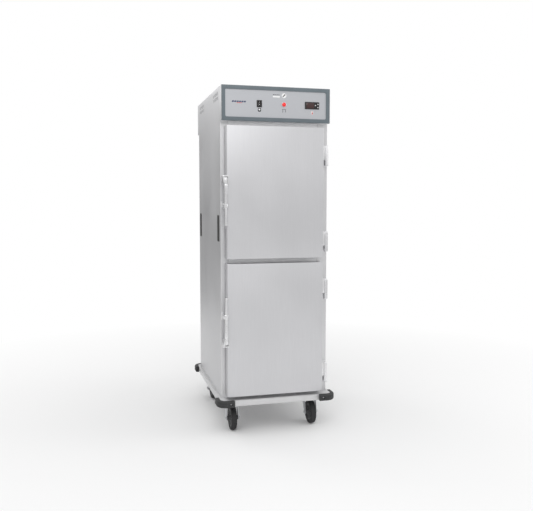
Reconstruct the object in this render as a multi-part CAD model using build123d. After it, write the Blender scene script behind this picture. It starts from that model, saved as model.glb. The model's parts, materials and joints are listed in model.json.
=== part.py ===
from build123d import *
import os
from math import floor

os.makedirs("parts", exist_ok=True)

# Pass-through proofing cabinet on four casters, in millimetres.
# The origin is on the floor under the middle of the body. +Z is up and the control panel faces -Y.
# Doors, frames, latches and casters at the rear are the front ones turned half a turn about Z.

# ---------------------------------------------------------------- driving dimensions
# Body
body_depth = 706.0
body_height = 1443.0
header_height = 178.0
header_overhang = 38.0
skin_sheet = 1.2
liner_sheet = 1.0
side_wall = 35.0
floor_wall = 25.0
ceiling_wall = 34.0

# Base platform
base_height = 32.0
base_sheet = 1.5
base_side_margin = 13.3
base_end_margin = 62.6

# Corner bumpers
bumper_height = 36.0
bumper_proud = 20.0
bumper_corner_radius = 50.0
bumper_leg = 91.0
bumper_edge_radius = 9.0

# Casters
caster_side_inset = 82.3
caster_end_inset = 146.6
caster_trail = 32.0
caster_plate = (92.0, 104.0, 4.0)
raceway_radius = 32.0
raceway_height = 4.0
kingpin_radius = 6.0
kingpin_head_radius = 10.0
kingpin_head_height = 4.0
fork_width = 66.0
fork_sheet = 3.0
fork_half_length = 28.0
fork_crown_height = 10.7
fork_end_radius = 13.0
axle_radius = 5.0
axle_head_radius = 8.5
axle_head_height = 6.0
wheel_diameter = 127.0
wheel_crown_gap = 13.0
tyre_width = 30.0
tyre_depth = 18.0
tyre_edge_radius = 11.0
wheel_web = 18.0
wheel_boss_radius = 15.0

# Doors
door_latch_margin = 24.0
door_hinge_margin = 40.0
door_thickness = 50.0
door_gap_bottom = 17.0
door_gap_middle = 24.5
door_gap_top = 25.0
lower_door_height = 696.0
door_seat = 18.0
door_edge_radius = 3.0
door_liner_step = 10.0
door_liner_inset = 24.0
gasket_depth = 8.0
gasket_width = 13.0
gasket_inset = 2.5

# Door frames
frame_depth = 20.0

# Hinges, with their heights as insets from the top and the bottom of each door
upper_hinge_insets = (144.0, 83.0)
lower_hinge_insets = (148.0, 97.0)
hinge_height = 108.0
hinge_barrel_radius = 10.0
hinge_pin_radius = 4.0
hinge_pin_cover = 4.0
hinge_leaf_sheet = 3.0
hinge_leaf_width = 26.0
hinge_arm = 8.0
hinge_pivot_inset = 16.0
hinge_pivot_proud = 35.0
hinge_frame_share = 32.0

# Latches, measured along the latch from the outer end of its bracket
latch_reach = 427.0
latch_bracket_length = 43.0
latch_wide_half = 20.0
latch_narrow_half = 12.0
latch_hood_depth = 23.0
latch_plate = 3.0
latch_pin_radius = 3.0
latch_pin_at = 16.0
latch_head_half = 8.5
latch_lever_inset = 8.5
latch_lever_proud = 13.0
lever_neck = 3.0
lever_tube_radius = 9.8
lever_tube_end = 145.0
lever_knob_radius = 11.5
lever_knob_end = 166.0
lever_bar_radius = 7.2
lever_bar_end = 254.0
latch_web_width = 20.0
latch_web_depth = 26.0
latch_web_inset = 4.0
magnet_size = (14.0, 18.0)
magnet_at = 150.0
strike_size = (18.0, 39.0)
strike_sheet = 3.0
strike_inset = 2.0

# Hand grips, two in each side
grip_height = 138.0
grip_width = 50.0
grip_depth = 26.0
grip_rim = 2.0
grip_rim_width = 5.0
grip_wall = 2.0
grip_centre_above_base = 893.0
grip_end_margin = 58.0

# Vent slits, two patches high on each side
vent_columns = 9
vent_rows = 2
vent_slit = (3.5, 20.0)
vent_slant = 28.0
vent_pitch = (17.0, 24.0)
vent_end_margin = 163.0
vent_top_margin = 42.0

# Tray racks
tray_width = 457.0
tray_side_gap = 9.5
tray_ledge_overlap = 14.5
tray_pitch = 76.0
tray_height = 50.0
lower_first_tray = 64.0
upper_first_tray = 24.0
slide_sheet = 2.0
slide_leg = 16.0
slide_end_gap = 4.0
upright_width = 30.0
upright_depth = 14.7
upright_wall = 1.5
upright_end_margin = 93.0

# Air heating in the cavity's ceiling
fan_space = 28.0
fan_ceiling_gap = 8.0
fan_radius = 85.0
fan_disc = 2.0
fan_blade = (46.0, 1.5, 16.0)
fan_blades = 8
fan_hub_radius = 12.0
shaft_radius = 4.0
shaft_hole_radius = 15.0
motor_radius = 42.0
motor_height = 60.0
motor_flange = (110.0, 3.0)
motor_bore_depth = 40.0
shaft_end_gap = 2.0
heater_ring_gap = 26.0
heater_rod_radius = 4.0
heater_terminal_spread = 20.0
heater_terminal_height = 26.0
baffle_side_gap = 20.0
baffle_inlet_radius = 70.0
baffle_post_radius = 5.0
baffle_post_margin = 35.0

# Humidity
pan_size = (300.0, 400.0, 45.0)
pan_sheet = 1.0
pan_heater_margin = 20.0
pan_heater_height = 4.0

# Control panel
bezel_border = 19.5
bezel_depth = 12.0
bezel_front = 4.0
bezel_skirt = 3.0
bezel_window_radius = 8.0
bezel_corner_radius = 4.0
fascia_sheet = 1.5
fascia_overlap = 7.0
switch_x = -90.9
switch_flange = (28.0, 36.0, 2.0)
switch_body = (24.0, 32.0, 26.0)
rocker_size = (13.6, 25.6, 12.0)
rocker_proud = 4.0
rocker_pivot_depth = 5.0
rocker_tilt = 8.0
rocker_side_gap = 0.7
rocker_end_gap = 1.3
rocker_stub = (1.5, 1.0)
switch_pocket_depth = 13.0
lamp_x = 40.2
lamp_lens_radius = 12.4
lamp_lens_height = 7.0
lamp_lens_edge = 4.0
lamp_body_radius = 11.0
lamp_body_depth = 26.0
thermostat_side_inset = 97.7
thermostat_flange = (78.0, 37.0, 3.0)
thermostat_body = (71.0, 29.0, 58.0)
display_size = (42.0, 28.0, 0.6)
display_x = -10.0
key_radius = 3.0
key_places = ((18.0, 1.2), (31.7, 7.4), (31.8, -8.6))
key_length = 2.8
key_proud = 1.2
key_bore_depth = 2.7

# Power inlet gland in the rear face of the header
gland_side_inset = 90.0
gland_below_top = 122.0
gland_bore_radius = 5.0
gland_thread_radius = 10.0
gland_nut_radius = 14.0
gland_nut_height = 6.0
gland_dome_radius = 12.0
gland_dome_height = 18.0
gland_tail = 16.0

# Clearances
running = 0.05
slack = 0.3
hole_slack = 0.2
magnet_gap = 0.5

# ---------------------------------------------------------------- derived levels and faces
slide_leg_face = tray_width / 2 + tray_side_gap
upright_face = slide_leg_face + slide_sheet
cavity_half = upright_face + upright_depth + slack
half_width = cavity_half + side_wall
half_depth = body_depth / 2
fork_top = wheel_diameter + wheel_crown_gap + fork_crown_height
base_bottom = fork_top + slack + raceway_height + caster_plate[2]
base_top = base_bottom + base_height
header_bottom = base_top + body_height
top = header_bottom + header_height
inner_half_width = half_width - skin_sheet
base_half_x = half_width + base_side_margin
base_half_y = half_depth + base_end_margin
frame_back = half_depth - frame_depth
cavity_floor = base_top + floor_wall
cavity_ceiling = header_bottom - ceiling_wall
baffle_top = cavity_ceiling - fan_space
header_face = -half_depth - header_overhang

door_left = -half_width + door_latch_margin
door_right = half_width - door_hinge_margin
door_back = -half_depth - gasket_depth
door_face = door_back - door_thickness
lower_door = (base_top + door_gap_bottom, base_top + door_gap_bottom + lower_door_height)
upper_door = (lower_door[1] + door_gap_middle, header_bottom - door_gap_top)
opening_x = (door_left + door_seat, door_right - door_seat)
lower_opening = (lower_door[0] + door_seat, lower_door[1] - door_seat)
upper_opening = (upper_door[0] + door_seat, upper_door[1] - door_seat)

pivot_x = half_width - hinge_pivot_inset
pivot_y = -half_depth - hinge_pivot_proud
lever_x = door_left - latch_lever_inset
lever_y = door_face - latch_lever_proud
controls_z = header_bottom + header_height / 2
fascia_face = header_face + bezel_front
thermostat_x = half_width - thermostat_side_inset
gland_x = gland_side_inset - half_width
gland_z = top - gland_below_top
grip_y = half_depth - grip_end_margin
grip_z = base_top + grip_centre_above_base
caster_x = base_half_x - caster_side_inset
caster_y = base_half_y - caster_end_inset
wheel_radius = wheel_diameter / 2
ledge_tip = tray_width / 2 - tray_ledge_overlap
fan_top = cavity_ceiling - fan_ceiling_gap
heater_ring_radius = fan_radius + heater_ring_gap + heater_rod_radius


# ---------------------------------------------------------------- helpers
def block(x, y, z):
    """A box between two values on each axis, given in either order."""
    low = [min(pair) for pair in (x, y, z)]
    high = [max(pair) for pair in (x, y, z)]
    middle = [(a + b) / 2 for a, b in zip(low, high)]
    size = [b - a for a, b in zip(low, high)]
    return Pos(*middle) * Box(*size)


def around(middle, half):
    """The two values at the same distance either side of a middle."""
    return (middle - half, middle + half)


def rod_x(radius, x0, x1, y, z):
    """A round bar along X."""
    return Pos((x0 + x1) / 2, y, z) * Rot(0, 90, 0) * Cylinder(radius, abs(x1 - x0))


def rod_y(radius, x, y0, y1, z):
    """A round bar along Y."""
    return Pos(x, (y0 + y1) / 2, z) * Rot(90, 0, 0) * Cylinder(radius, abs(y1 - y0))


def rod_z(radius, x, y, z0, z1):
    """A round bar along Z."""
    return Pos(x, y, (z0 + z1) / 2) * Cylinder(radius, abs(z1 - z0))


def half_turn(shape):
    """The same piece at the rear of the cabinet."""
    return shape.rotate(Axis.Z, 180)


def front_and_rear(shapes):
    """Pieces at the front, followed by the same pieces at the rear."""
    return shapes + [half_turn(shape) for shape in shapes]


def save(node, shapes):
    """Writes one node, which may hold several separate solids."""
    solids = [solid for shape in shapes for solid in shape.solids()]
    export_step(Compound(solids), f"parts/{node}.step")


# ---------------------------------------------------------------- base and bumpers
def base_frame():
    """A closed platform, welded from a deck, a bottom sheet and their skirts."""
    outer = block(around(0, base_half_x), around(0, base_half_y), (base_bottom, base_top))
    inner_z = (base_bottom + base_sheet, base_top - base_sheet)
    return outer - block(around(0, base_half_x - base_sheet), around(0, base_half_y - base_sheet), inner_z)


def corner_bumper(side, end):
    """A rubber moulding round one corner of the base, on its two outer faces."""
    out_x = base_half_x + bumper_proud
    out_y = base_half_y + bumper_proud
    outline = RectangleRounded(2 * out_x, 2 * out_y, bumper_corner_radius)
    base_z = (base_bottom + base_top) / 2 - bumper_height / 2
    ring = Pos(0, 0, base_z) * extrude(outline, bumper_height)
    rims = ring.faces().sort_by(Axis.Z)[-1].edges() + ring.faces().sort_by(Axis.Z)[0].edges()
    ring = fillet(rims, bumper_edge_radius)
    corner_x = (side * (out_x - bumper_leg), side * out_x)
    corner_y = (end * (out_y - bumper_leg), end * out_y)
    corner = block(corner_x, corner_y, (0, 2 * base_top))
    core = block(around(0, base_half_x), around(0, base_half_y), (0, 2 * base_top))
    return (ring & corner) - core


# ---------------------------------------------------------------- sheet metal body
def vent_slits(side):
    """The slanted slits of both patches on one side, as cutting bars."""
    bar = Rot(-vent_slant, 0, 0) * Box(6 * skin_sheet, vent_slit[0], vent_slit[1])
    bars = []
    for end in (-1, 1):
        middle_y = end * (-header_face - vent_end_margin)
        for column in range(vent_columns):
            for row in range(vent_rows):
                y = middle_y + (column - (vent_columns - 1) / 2) * vent_pitch[0]
                z = top - vent_top_margin - (row - (vent_rows - 1) / 2) * vent_pitch[1]
                bars.append(Pos(side * half_width, y, z) * bar)
    return bars


def side_panel(side):
    """One sheet from the base to the roof, deeper at the header."""
    x = (side * inner_half_width, side * half_width)
    panel = block(x, around(0, half_depth), (base_top, header_bottom))
    panel += block(x, around(0, -header_face), (header_bottom, top))
    cup_y = grip_width / 2 - grip_rim_width + hole_slack
    cup_z = grip_height / 2 - grip_rim_width + hole_slack
    for end in (-1, 1):
        panel -= block(x, around(end * grip_y, cup_y), around(grip_z, cup_z))
    return panel - vent_slits(side)


def hand_grip(side, end):
    """A recessed cup with a thin rim on the outer face."""
    y = end * grip_y
    body_y = grip_width / 2 - grip_rim_width
    body_z = grip_height / 2 - grip_rim_width
    outside = side * (half_width + grip_rim)
    inside = side * (half_width - grip_depth)
    rim = block((side * half_width, outside), around(y, grip_width / 2), around(grip_z, grip_height / 2))
    cup = block((inside, side * half_width), around(y, body_y), around(grip_z, body_z))
    pocket_x = (inside + side * grip_wall, outside)
    return rim + cup - block(pocket_x, around(y, body_y - grip_wall), around(grip_z, body_z - grip_wall))


def channel(x, z, mouth):
    """A folded frame member behind the frame's face, open towards the insulation."""
    y = (-half_depth, -half_depth + frame_depth)
    bar = block(x, y, z)
    inner_x = (x[0] + skin_sheet, x[1] - skin_sheet) if mouth == "z" else x
    inner_z = z if mouth == "z" else (z[0] + skin_sheet, z[1] - skin_sheet)
    return bar - block(inner_x, (y[0] + skin_sheet, y[1]), inner_z)


def door_frame():
    """Two jambs, a sill, a middle rail, a head rail and the soffit under the header."""
    posts = (base_top, header_bottom)
    jambs = [channel((-inner_half_width, opening_x[0]), posts, "z")]
    jambs.append(channel((opening_x[1], inner_half_width), posts, "z"))
    rails = []
    lows = (base_top, lower_opening[1], upper_opening[1])
    highs = (lower_opening[0], upper_opening[0], header_bottom)
    for z in zip(lows, highs):
        rails.append(channel(opening_x, z, "x"))
    soffit_y = (header_face + bezel_depth, -half_depth + frame_depth)
    soffit = block(around(0, inner_half_width), soffit_y, (header_bottom, header_bottom + skin_sheet))
    return jambs + rails + [soffit]


def header_cover():
    """Roof sheet, and a rear sheet with a short return folded under it."""
    x = around(0, inner_half_width)
    roof = block(x, (header_face + bezel_depth, -header_face), (top - skin_sheet, top))
    rear = block(x, (-header_face - skin_sheet, -header_face), (header_bottom, top - skin_sheet))
    foot = block(x, (-header_face - bezel_depth, -header_face), (header_bottom, header_bottom + skin_sheet))
    hole_y = around(-header_face, 2 * skin_sheet)
    return [roof, rear + foot - rod_y(gland_thread_radius + hole_slack, gland_x, *hole_y, gland_z)]


def cavity_liner():
    """Side walls, floor, ceiling, and the fan baffle on four posts."""
    y = (-frame_back, frame_back)
    outer = cavity_half + liner_sheet
    walls = [block((side * cavity_half, side * outer), y, (cavity_floor, cavity_ceiling)) for side in (-1, 1)]
    floor_sheet = block((-outer, outer), y, (cavity_floor - liner_sheet, cavity_floor))
    ceiling = block((-outer, outer), y, (cavity_ceiling, cavity_ceiling + liner_sheet)) - ceiling_holes()
    baffle_x = cavity_half - baffle_side_gap
    baffle = block((-baffle_x, baffle_x), y, (baffle_top - liner_sheet, baffle_top))
    baffle -= rod_z(baffle_inlet_radius, 0, 0, baffle_top - 2 * liner_sheet, baffle_top + liner_sheet)
    posts = []
    for side in (-1, 1):
        for end in (-1, 1):
            place = (side * (baffle_x - baffle_post_margin), end * (frame_back - baffle_post_margin))
            posts.append(rod_z(baffle_post_radius, *place, baffle_top, cavity_ceiling))
    return walls + [floor_sheet, ceiling, baffle] + posts


def ceiling_holes():
    """Holes for the fan shaft and the heater terminals, as cutting bars."""
    z = (cavity_ceiling - liner_sheet, header_bottom + liner_sheet)
    holes = [rod_z(shaft_hole_radius, 0, 0, *z)]
    for side in (-1, 1):
        holes.append(rod_z(2 * heater_rod_radius, side * heater_terminal_spread, heater_ring_radius, *z))
    return holes


def wall_insulation():
    """Slabs in the two side walls, under the floor and over the ceiling."""
    y = (-frame_back, frame_back)
    outer = cavity_half + liner_sheet
    slabs = []
    for side in (-1, 1):
        slab = block((side * outer, side * inner_half_width), y, (base_top, header_bottom))
        for end in (-1, 1):
            pocket_x = (side * (half_width - grip_depth - slack), side * half_width)
            slab -= block(pocket_x, around(end * grip_y, grip_width / 2), around(grip_z, grip_height / 2))
        slabs.append(slab)
    slabs.append(block((-outer, outer), y, (base_top, cavity_floor - liner_sheet)))
    slabs.append(block((-outer, outer), y, (cavity_ceiling + liner_sheet, header_bottom)) - ceiling_holes())
    return slabs


# ---------------------------------------------------------------- tray racks
def tray_levels():
    """Heights of the ledges: as many at the tray pitch as each door opening takes."""
    levels = []
    limits = (lower_opening[1], min(upper_opening[1], baffle_top - liner_sheet))
    firsts = (lower_opening[0] + lower_first_tray, upper_opening[0] + upper_first_tray)
    for first, limit in zip(firsts, limits):
        count = floor((limit - first - tray_height) / tray_pitch) + 1
        levels += [first + tray_pitch * index for index in range(count)]
    return levels


def tray_slides():
    """Angle slides: a ledge under the tray's rim and an upright leg beside it."""
    y = (-frame_back + slide_end_gap, frame_back - slide_end_gap)
    slides = []
    for side in (-1, 1):
        for level in tray_levels():
            ledge = block((side * ledge_tip, side * upright_face), y, (level - slide_sheet, level))
            leg_x = (side * slide_leg_face, side * upright_face)
            slides.append(ledge + block(leg_x, y, (level - slide_sheet, level + slide_leg)))
    return slides


def rack_uprights():
    """Square tubes between the slides and the cavity wall."""
    posts = []
    for side in (-1, 1):
        for end in (-1, 1):
            y = end * (half_depth - upright_end_margin)
            x = (side * upright_face, side * (upright_face + upright_depth))
            inner_x = (x[0] + side * upright_wall, x[1] - side * upright_wall)
            z = (cavity_floor, cavity_ceiling)
            tube = block(x, around(y, upright_width / 2), z)
            posts.append(tube - block(inner_x, around(y, upright_width / 2 - upright_wall), z))
    return posts


# ---------------------------------------------------------------- heating and humidity
def fan_motor():
    """Motor on the header's floor, with a blind bore for the fan shaft."""
    z = header_bottom
    reach = around(0, motor_flange[0] / 2)
    flange = block(reach, reach, (z, z + motor_flange[1]))
    body = rod_z(motor_radius, 0, 0, z, z + motor_height)
    return flange + body - rod_z(shaft_radius + running, 0, 0, z, z + motor_bore_depth)


def fan_wheel():
    """Disc with straight blades below it, on a hub and its shaft."""
    wheel = rod_z(fan_radius, 0, 0, fan_top - fan_disc, fan_top)
    blade_bottom = fan_top - fan_disc - fan_blade[2]
    middle = fan_radius - fan_disc - fan_blade[0] / 2
    for index in range(fan_blades):
        blade = Pos(middle, 0, (blade_bottom + fan_top - fan_disc) / 2) * Box(*fan_blade)
        wheel += blade.rotate(Axis.Z, index * 360 / fan_blades)
    wheel += rod_z(fan_hub_radius, 0, 0, blade_bottom, fan_top)
    shaft_end = header_bottom + motor_bore_depth - shaft_end_gap
    return wheel + rod_z(shaft_radius, 0, 0, blade_bottom, shaft_end)


def heater_elements():
    """Ring round the fan with two terminals through the ceiling, and the plate under the water pan."""
    z = baffle_top + fan_space / 2
    ring = Pos(0, 0, z) * Torus(heater_ring_radius, heater_rod_radius)
    for side in (-1, 1):
        x = side * heater_terminal_spread
        ring += rod_z(heater_rod_radius, x, heater_ring_radius, z, header_bottom + heater_terminal_height)
    half_x = pan_size[0] / 2 - pan_heater_margin
    half_y = pan_size[1] / 2 - pan_heater_margin
    plate = block(around(0, half_x), around(0, half_y), (cavity_floor, cavity_floor + pan_heater_height))
    return [ring, plate]


def water_pan():
    """Open pan standing on its heater plate."""
    bottom = cavity_floor + pan_heater_height + hole_slack
    half_x = pan_size[0] / 2
    half_y = pan_size[1] / 2
    pan = block(around(0, half_x), around(0, half_y), (bottom, bottom + pan_size[2]))
    hollow_z = (bottom + pan_sheet, bottom + pan_size[2])
    return pan - block(around(0, half_x - pan_sheet), around(0, half_y - pan_sheet), hollow_z)


# ---------------------------------------------------------------- control panel
def control_bezel():
    """Frame with a front lip and a skirt that reaches back between the side panels."""
    half_x = inner_half_width - slack
    plate = RectangleRounded(2 * half_x, header_height, bezel_corner_radius)
    bezel = Pos(0, header_face + bezel_depth, controls_z) * Rot(90, 0, 0) * extrude(plate, bezel_depth)
    pocket = Box(2 * (half_x - bezel_skirt), bezel_depth, header_height - 2 * bezel_skirt)
    bezel -= Pos(0, fascia_face + bezel_depth / 2, controls_z) * pocket
    window_height = header_height - 2 * bezel_border
    window = RectangleRounded(2 * (half_x - bezel_border), window_height, bezel_window_radius)
    cutter = Rot(90, 0, 0) * extrude(window, bezel_depth)
    return bezel - Pos(0, header_face + bezel_depth, controls_z) * cutter


def control_fascia():
    """Plate behind the bezel's lip, cut for the switch, the lamp and the thermostat."""
    half_x = inner_half_width - slack - bezel_border + fascia_overlap
    half_z = header_height / 2 - bezel_border + fascia_overlap
    y = (fascia_face, fascia_face + fascia_sheet)
    plate = block(around(0, half_x), y, around(controls_z, half_z))
    for x, size in ((switch_x, switch_body), (thermostat_x, thermostat_body)):
        plate -= block(around(x, size[0] / 2 + hole_slack), y, around(controls_z, size[1] / 2 + hole_slack))
    return plate - rod_y(lamp_body_radius + hole_slack, lamp_x, y[0], y[1], controls_z)


def panel_box(x, size, front):
    """A box on the panel's middle line, from its front face back: size is width, height and depth."""
    return block(around(x, size[0] / 2), (front, front + size[2]), around(controls_z, size[1] / 2))


def switch_housing():
    """Rocker switch body with a pocket for the rocker."""
    front = fascia_face - switch_flange[2]
    housing = panel_box(switch_x, switch_flange, front) + panel_box(switch_x, switch_body, fascia_face)
    pocket_x = rocker_size[0] / 2 + rocker_side_gap
    pocket_z = rocker_size[1] / 2 + rocker_end_gap
    pocket_y = (front, front + switch_pocket_depth)
    housing -= block(around(switch_x, pocket_x), pocket_y, around(controls_z, pocket_z))
    stub_x = around(switch_x, pocket_x + rocker_stub[1] + slack)
    return housing - rod_x(rocker_stub[0] + running, *stub_x, front + rocker_pivot_depth, controls_z)


def switch_rocker():
    """The rocker, tilted to its off position, with two short pivots."""
    front = fascia_face - switch_flange[2]
    pivot = Location((switch_x, front + rocker_pivot_depth, controls_z))
    middle = -rocker_pivot_depth - rocker_proud + rocker_size[2] / 2
    rocker = Pos(0, middle, 0) * Box(rocker_size[0], rocker_size[2], rocker_size[1])
    stub_x = around(0, rocker_size[0] / 2 + rocker_side_gap + rocker_stub[1])
    rocker += rod_x(rocker_stub[0], *stub_x, 0, 0)
    return pivot * Rot(-rocker_tilt, 0, 0) * rocker


def pilot_lamp():
    """Domed lens on a round body."""
    lens = rod_y(lamp_lens_radius, lamp_x, fascia_face, fascia_face - lamp_lens_height, controls_z)
    lens = fillet(lens.faces().sort_by(Axis.Y)[0].edges(), lamp_lens_edge)
    return lens + rod_y(lamp_body_radius, lamp_x, fascia_face, fascia_face + lamp_body_depth, controls_z)


def thermostat_case():
    """Panel instrument with a recess for its window and bores for its keys."""
    front = fascia_face - thermostat_flange[2]
    case = panel_box(thermostat_x, thermostat_flange, front)
    case += panel_box(thermostat_x, thermostat_body, fascia_face)
    case -= panel_box(thermostat_x + display_x, display_size, front)
    for x, z in key_places:
        case -= rod_y(key_radius + slack, thermostat_x + x, front, front + key_bore_depth, controls_z + z)
    return case


def thermostat_key(place):
    front = fascia_face - thermostat_flange[2] - key_proud
    return rod_y(key_radius, thermostat_x + place[0], front, front + key_length, controls_z + place[1])


def cord_gland():
    """Round gland with its bore along Y, ready for a supply cord."""
    face = -header_face
    nut_end = face + gland_nut_height
    gland = rod_y(gland_thread_radius, gland_x, face - gland_tail, face, gland_z)
    gland += rod_y(gland_nut_radius, gland_x, face, nut_end, gland_z)
    dome = rod_y(gland_dome_radius, gland_x, nut_end, nut_end + gland_dome_height, gland_z)
    gland += fillet(dome.faces().sort_by(Axis.Y)[-1].edges(), gland_dome_radius / 3)
    return gland - rod_y(gland_bore_radius, gland_x, face - gland_tail, nut_end + gland_dome_height, gland_z)


# ---------------------------------------------------------------- doors
def door_skin(z):
    """Outer pan of a door, open at the back."""
    x = (door_left, door_right)
    shell = block(x, (door_face, door_back - liner_sheet), z)
    front = shell.faces().sort_by(Axis.Y)[0].edges()
    shell = fillet(front, door_edge_radius)
    inner_x = (x[0] + skin_sheet, x[1] - skin_sheet)
    inner_z = (z[0] + skin_sheet, z[1] - skin_sheet)
    return shell - block(inner_x, (door_face + skin_sheet, door_back), inner_z)


def door_liner(z):
    """Inner pan: a rim that closes the skin and a panel stepped into the door."""
    x = (door_left, door_right)
    rim = block(x, (door_back - liner_sheet, door_back), z)
    inset_x = (x[0] + door_liner_inset, x[1] - door_liner_inset)
    inset_z = (z[0] + door_liner_inset, z[1] - door_liner_inset)
    step = block(inset_x, (door_back - door_liner_step, door_back), inset_z)
    hollow_x = (inset_x[0] + liner_sheet, inset_x[1] - liner_sheet)
    hollow_z = (inset_z[0] + liner_sheet, inset_z[1] - liner_sheet)
    return rim + step - block(hollow_x, (door_back - door_liner_step + liner_sheet, door_back), hollow_z)


def door_gasket(z):
    """Rectangular ring between the door and the frame's face."""
    near = gasket_inset
    far = gasket_inset + gasket_width
    y = (door_back, -half_depth - slack)
    ring = block((door_left + near, door_right - near), y, (z[0] + near, z[1] - near))
    return ring - block((door_left + far, door_right - far), y, (z[0] + far, z[1] - far))


def hinge_centres(z, insets):
    return (z[1] - insets[0], z[0] + insets[1])


def hinge_split(centre):
    """Height at which the frame's knuckle ends and the door's begins."""
    return centre - hinge_height / 2 + hinge_frame_share


def hinge_frame_leaf(centre):
    """Leaf on the jamb, lower knuckle and the pin that the door's knuckle turns on."""
    low = centre - hinge_height / 2
    high = centre + hinge_height / 2
    split = hinge_split(centre)
    leaf_x = (pivot_x - hinge_leaf_width / 2, pivot_x + hinge_leaf_width / 2)
    leaf = block(leaf_x, (-half_depth - hinge_leaf_sheet, -half_depth), (low, high))
    arm = block((pivot_x - hinge_arm / 2, pivot_x + hinge_arm / 2), (pivot_y, -half_depth), (low, split))
    knuckle = rod_z(hinge_barrel_radius, pivot_x, pivot_y, low, split)
    knuckle = fillet(knuckle.faces().sort_by(Axis.Z)[0].edges(), hinge_barrel_radius / 2)
    pin = rod_z(hinge_pin_radius, pivot_x, pivot_y, low + hinge_pin_cover, high - hinge_pin_cover)
    return leaf + arm + knuckle + pin


def hinge_door_leaf(centre):
    """Leaf on the door's edge and the upper knuckle, bored for the pin."""
    high = centre + hinge_height / 2
    split = hinge_split(centre) + slack
    leaf_y = (door_face + 2 * door_edge_radius, door_back - 2 * door_edge_radius)
    leaf = block((door_right, door_right + hinge_leaf_sheet), leaf_y, (split, high))
    arm = block((door_right, pivot_x), (pivot_y - hinge_arm / 2, pivot_y + hinge_arm / 2), (split, high))
    knuckle = rod_z(hinge_barrel_radius, pivot_x, pivot_y, split, high)
    bore = rod_z(hinge_pin_radius + running, pivot_x, pivot_y, split, high - hinge_pin_cover + slack)
    return leaf + arm + knuckle - bore


# ---------------------------------------------------------------- latches
def latch_z(z, upper, at):
    """Height of a point along a latch: the upper door's latch hangs down, the lower one stands up."""
    if upper:
        return z[0] + latch_reach - at
    return z[1] - latch_reach + at


def latch_bracket(z, upper):
    """Tapered hood in front of the door's edge, its web on the edge, and the lever's pin."""
    start = latch_z(z, upper, 0)
    end = latch_z(z, upper, latch_bracket_length)
    right = lever_x + latch_narrow_half
    outline = [(lever_x - latch_wide_half, start), (right, start)]
    outline += [(right, end), (lever_x - latch_narrow_half, end)]
    front = door_face - latch_hood_depth
    hood = extrude(Plane.XZ * make_face(Polyline(*outline, close=True)), latch_hood_depth)
    hood = Pos(0, door_face, 0) * hood
    pocket_z = (latch_z(z, upper, latch_plate), end)
    hood -= block(around(lever_x, latch_head_half + slack), (front, door_face - latch_plate), pocket_z)
    web_z = (latch_z(z, upper, latch_web_inset), latch_z(z, upper, latch_bracket_length - latch_web_inset))
    web = block((door_left - latch_web_width, door_left), (door_face, door_face + latch_web_depth), web_z)
    pin_z = latch_z(z, upper, latch_pin_at)
    return hood + web + rod_x(latch_pin_radius, *around(lever_x, latch_narrow_half), lever_y, pin_z)


def latch_lever(z, upper):
    """Head bored for the pin, tube, knob and bar in line, and the magnet block that meets the strike."""
    def span(start, end):
        return (latch_z(z, upper, start), latch_z(z, upper, end))
    pin_z = latch_z(z, upper, latch_pin_at)
    head_x = around(lever_x, latch_head_half)
    head = rod_x(latch_head_half, *head_x, lever_y, pin_z)
    neck_end = latch_bracket_length + lever_neck
    head += block(head_x, around(lever_y, latch_head_half), span(latch_pin_at, neck_end))
    head -= rod_x(latch_pin_radius + running, *head_x, lever_y, pin_z)
    tube = rod_z(lever_tube_radius, lever_x, lever_y, *span(neck_end, lever_tube_end))
    knob = rod_z(lever_knob_radius, lever_x, lever_y, *span(lever_tube_end, lever_knob_end))
    knob = fillet(knob.edges().filter_by(GeomType.CIRCLE), lever_knob_radius / 3)
    bar = rod_z(lever_bar_radius, lever_x, lever_y, *span(lever_knob_end, lever_bar_end))
    stem_z = span(*around(magnet_at, magnet_size[1] / 2))
    stem_y = (lever_y, -half_depth - strike_sheet - magnet_gap)
    stem = block(around(lever_x, magnet_size[0] / 2), stem_y, stem_z)
    return head + tube + knob + bar + stem


def latch_strike(z, upper):
    """Steel plate on the jamb that the magnet block meets."""
    x = -half_width + strike_inset
    middle = latch_z(z, upper, magnet_at)
    y = (-half_depth - strike_sheet, -half_depth)
    return block((x, x + strike_size[0]), y, around(middle, strike_size[1] / 2))


# ---------------------------------------------------------------- casters
def caster_top(side, end):
    """Mounting plate, raceway and kingpin, fixed under the base."""
    x = side * caster_x
    y = end * caster_y
    under = base_bottom - caster_plate[2]
    plate = Pos(x, y, base_bottom - caster_plate[2] / 2) * Box(*caster_plate)
    raceway = rod_z(raceway_radius, x, y, under - raceway_height, under)
    head_top = fork_top - fork_crown_height - slack
    pin = rod_z(kingpin_radius, x, y, head_top, under)
    head = rod_z(kingpin_head_radius, x, y, head_top - kingpin_head_height, head_top)
    return plate + raceway + pin + head


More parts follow.
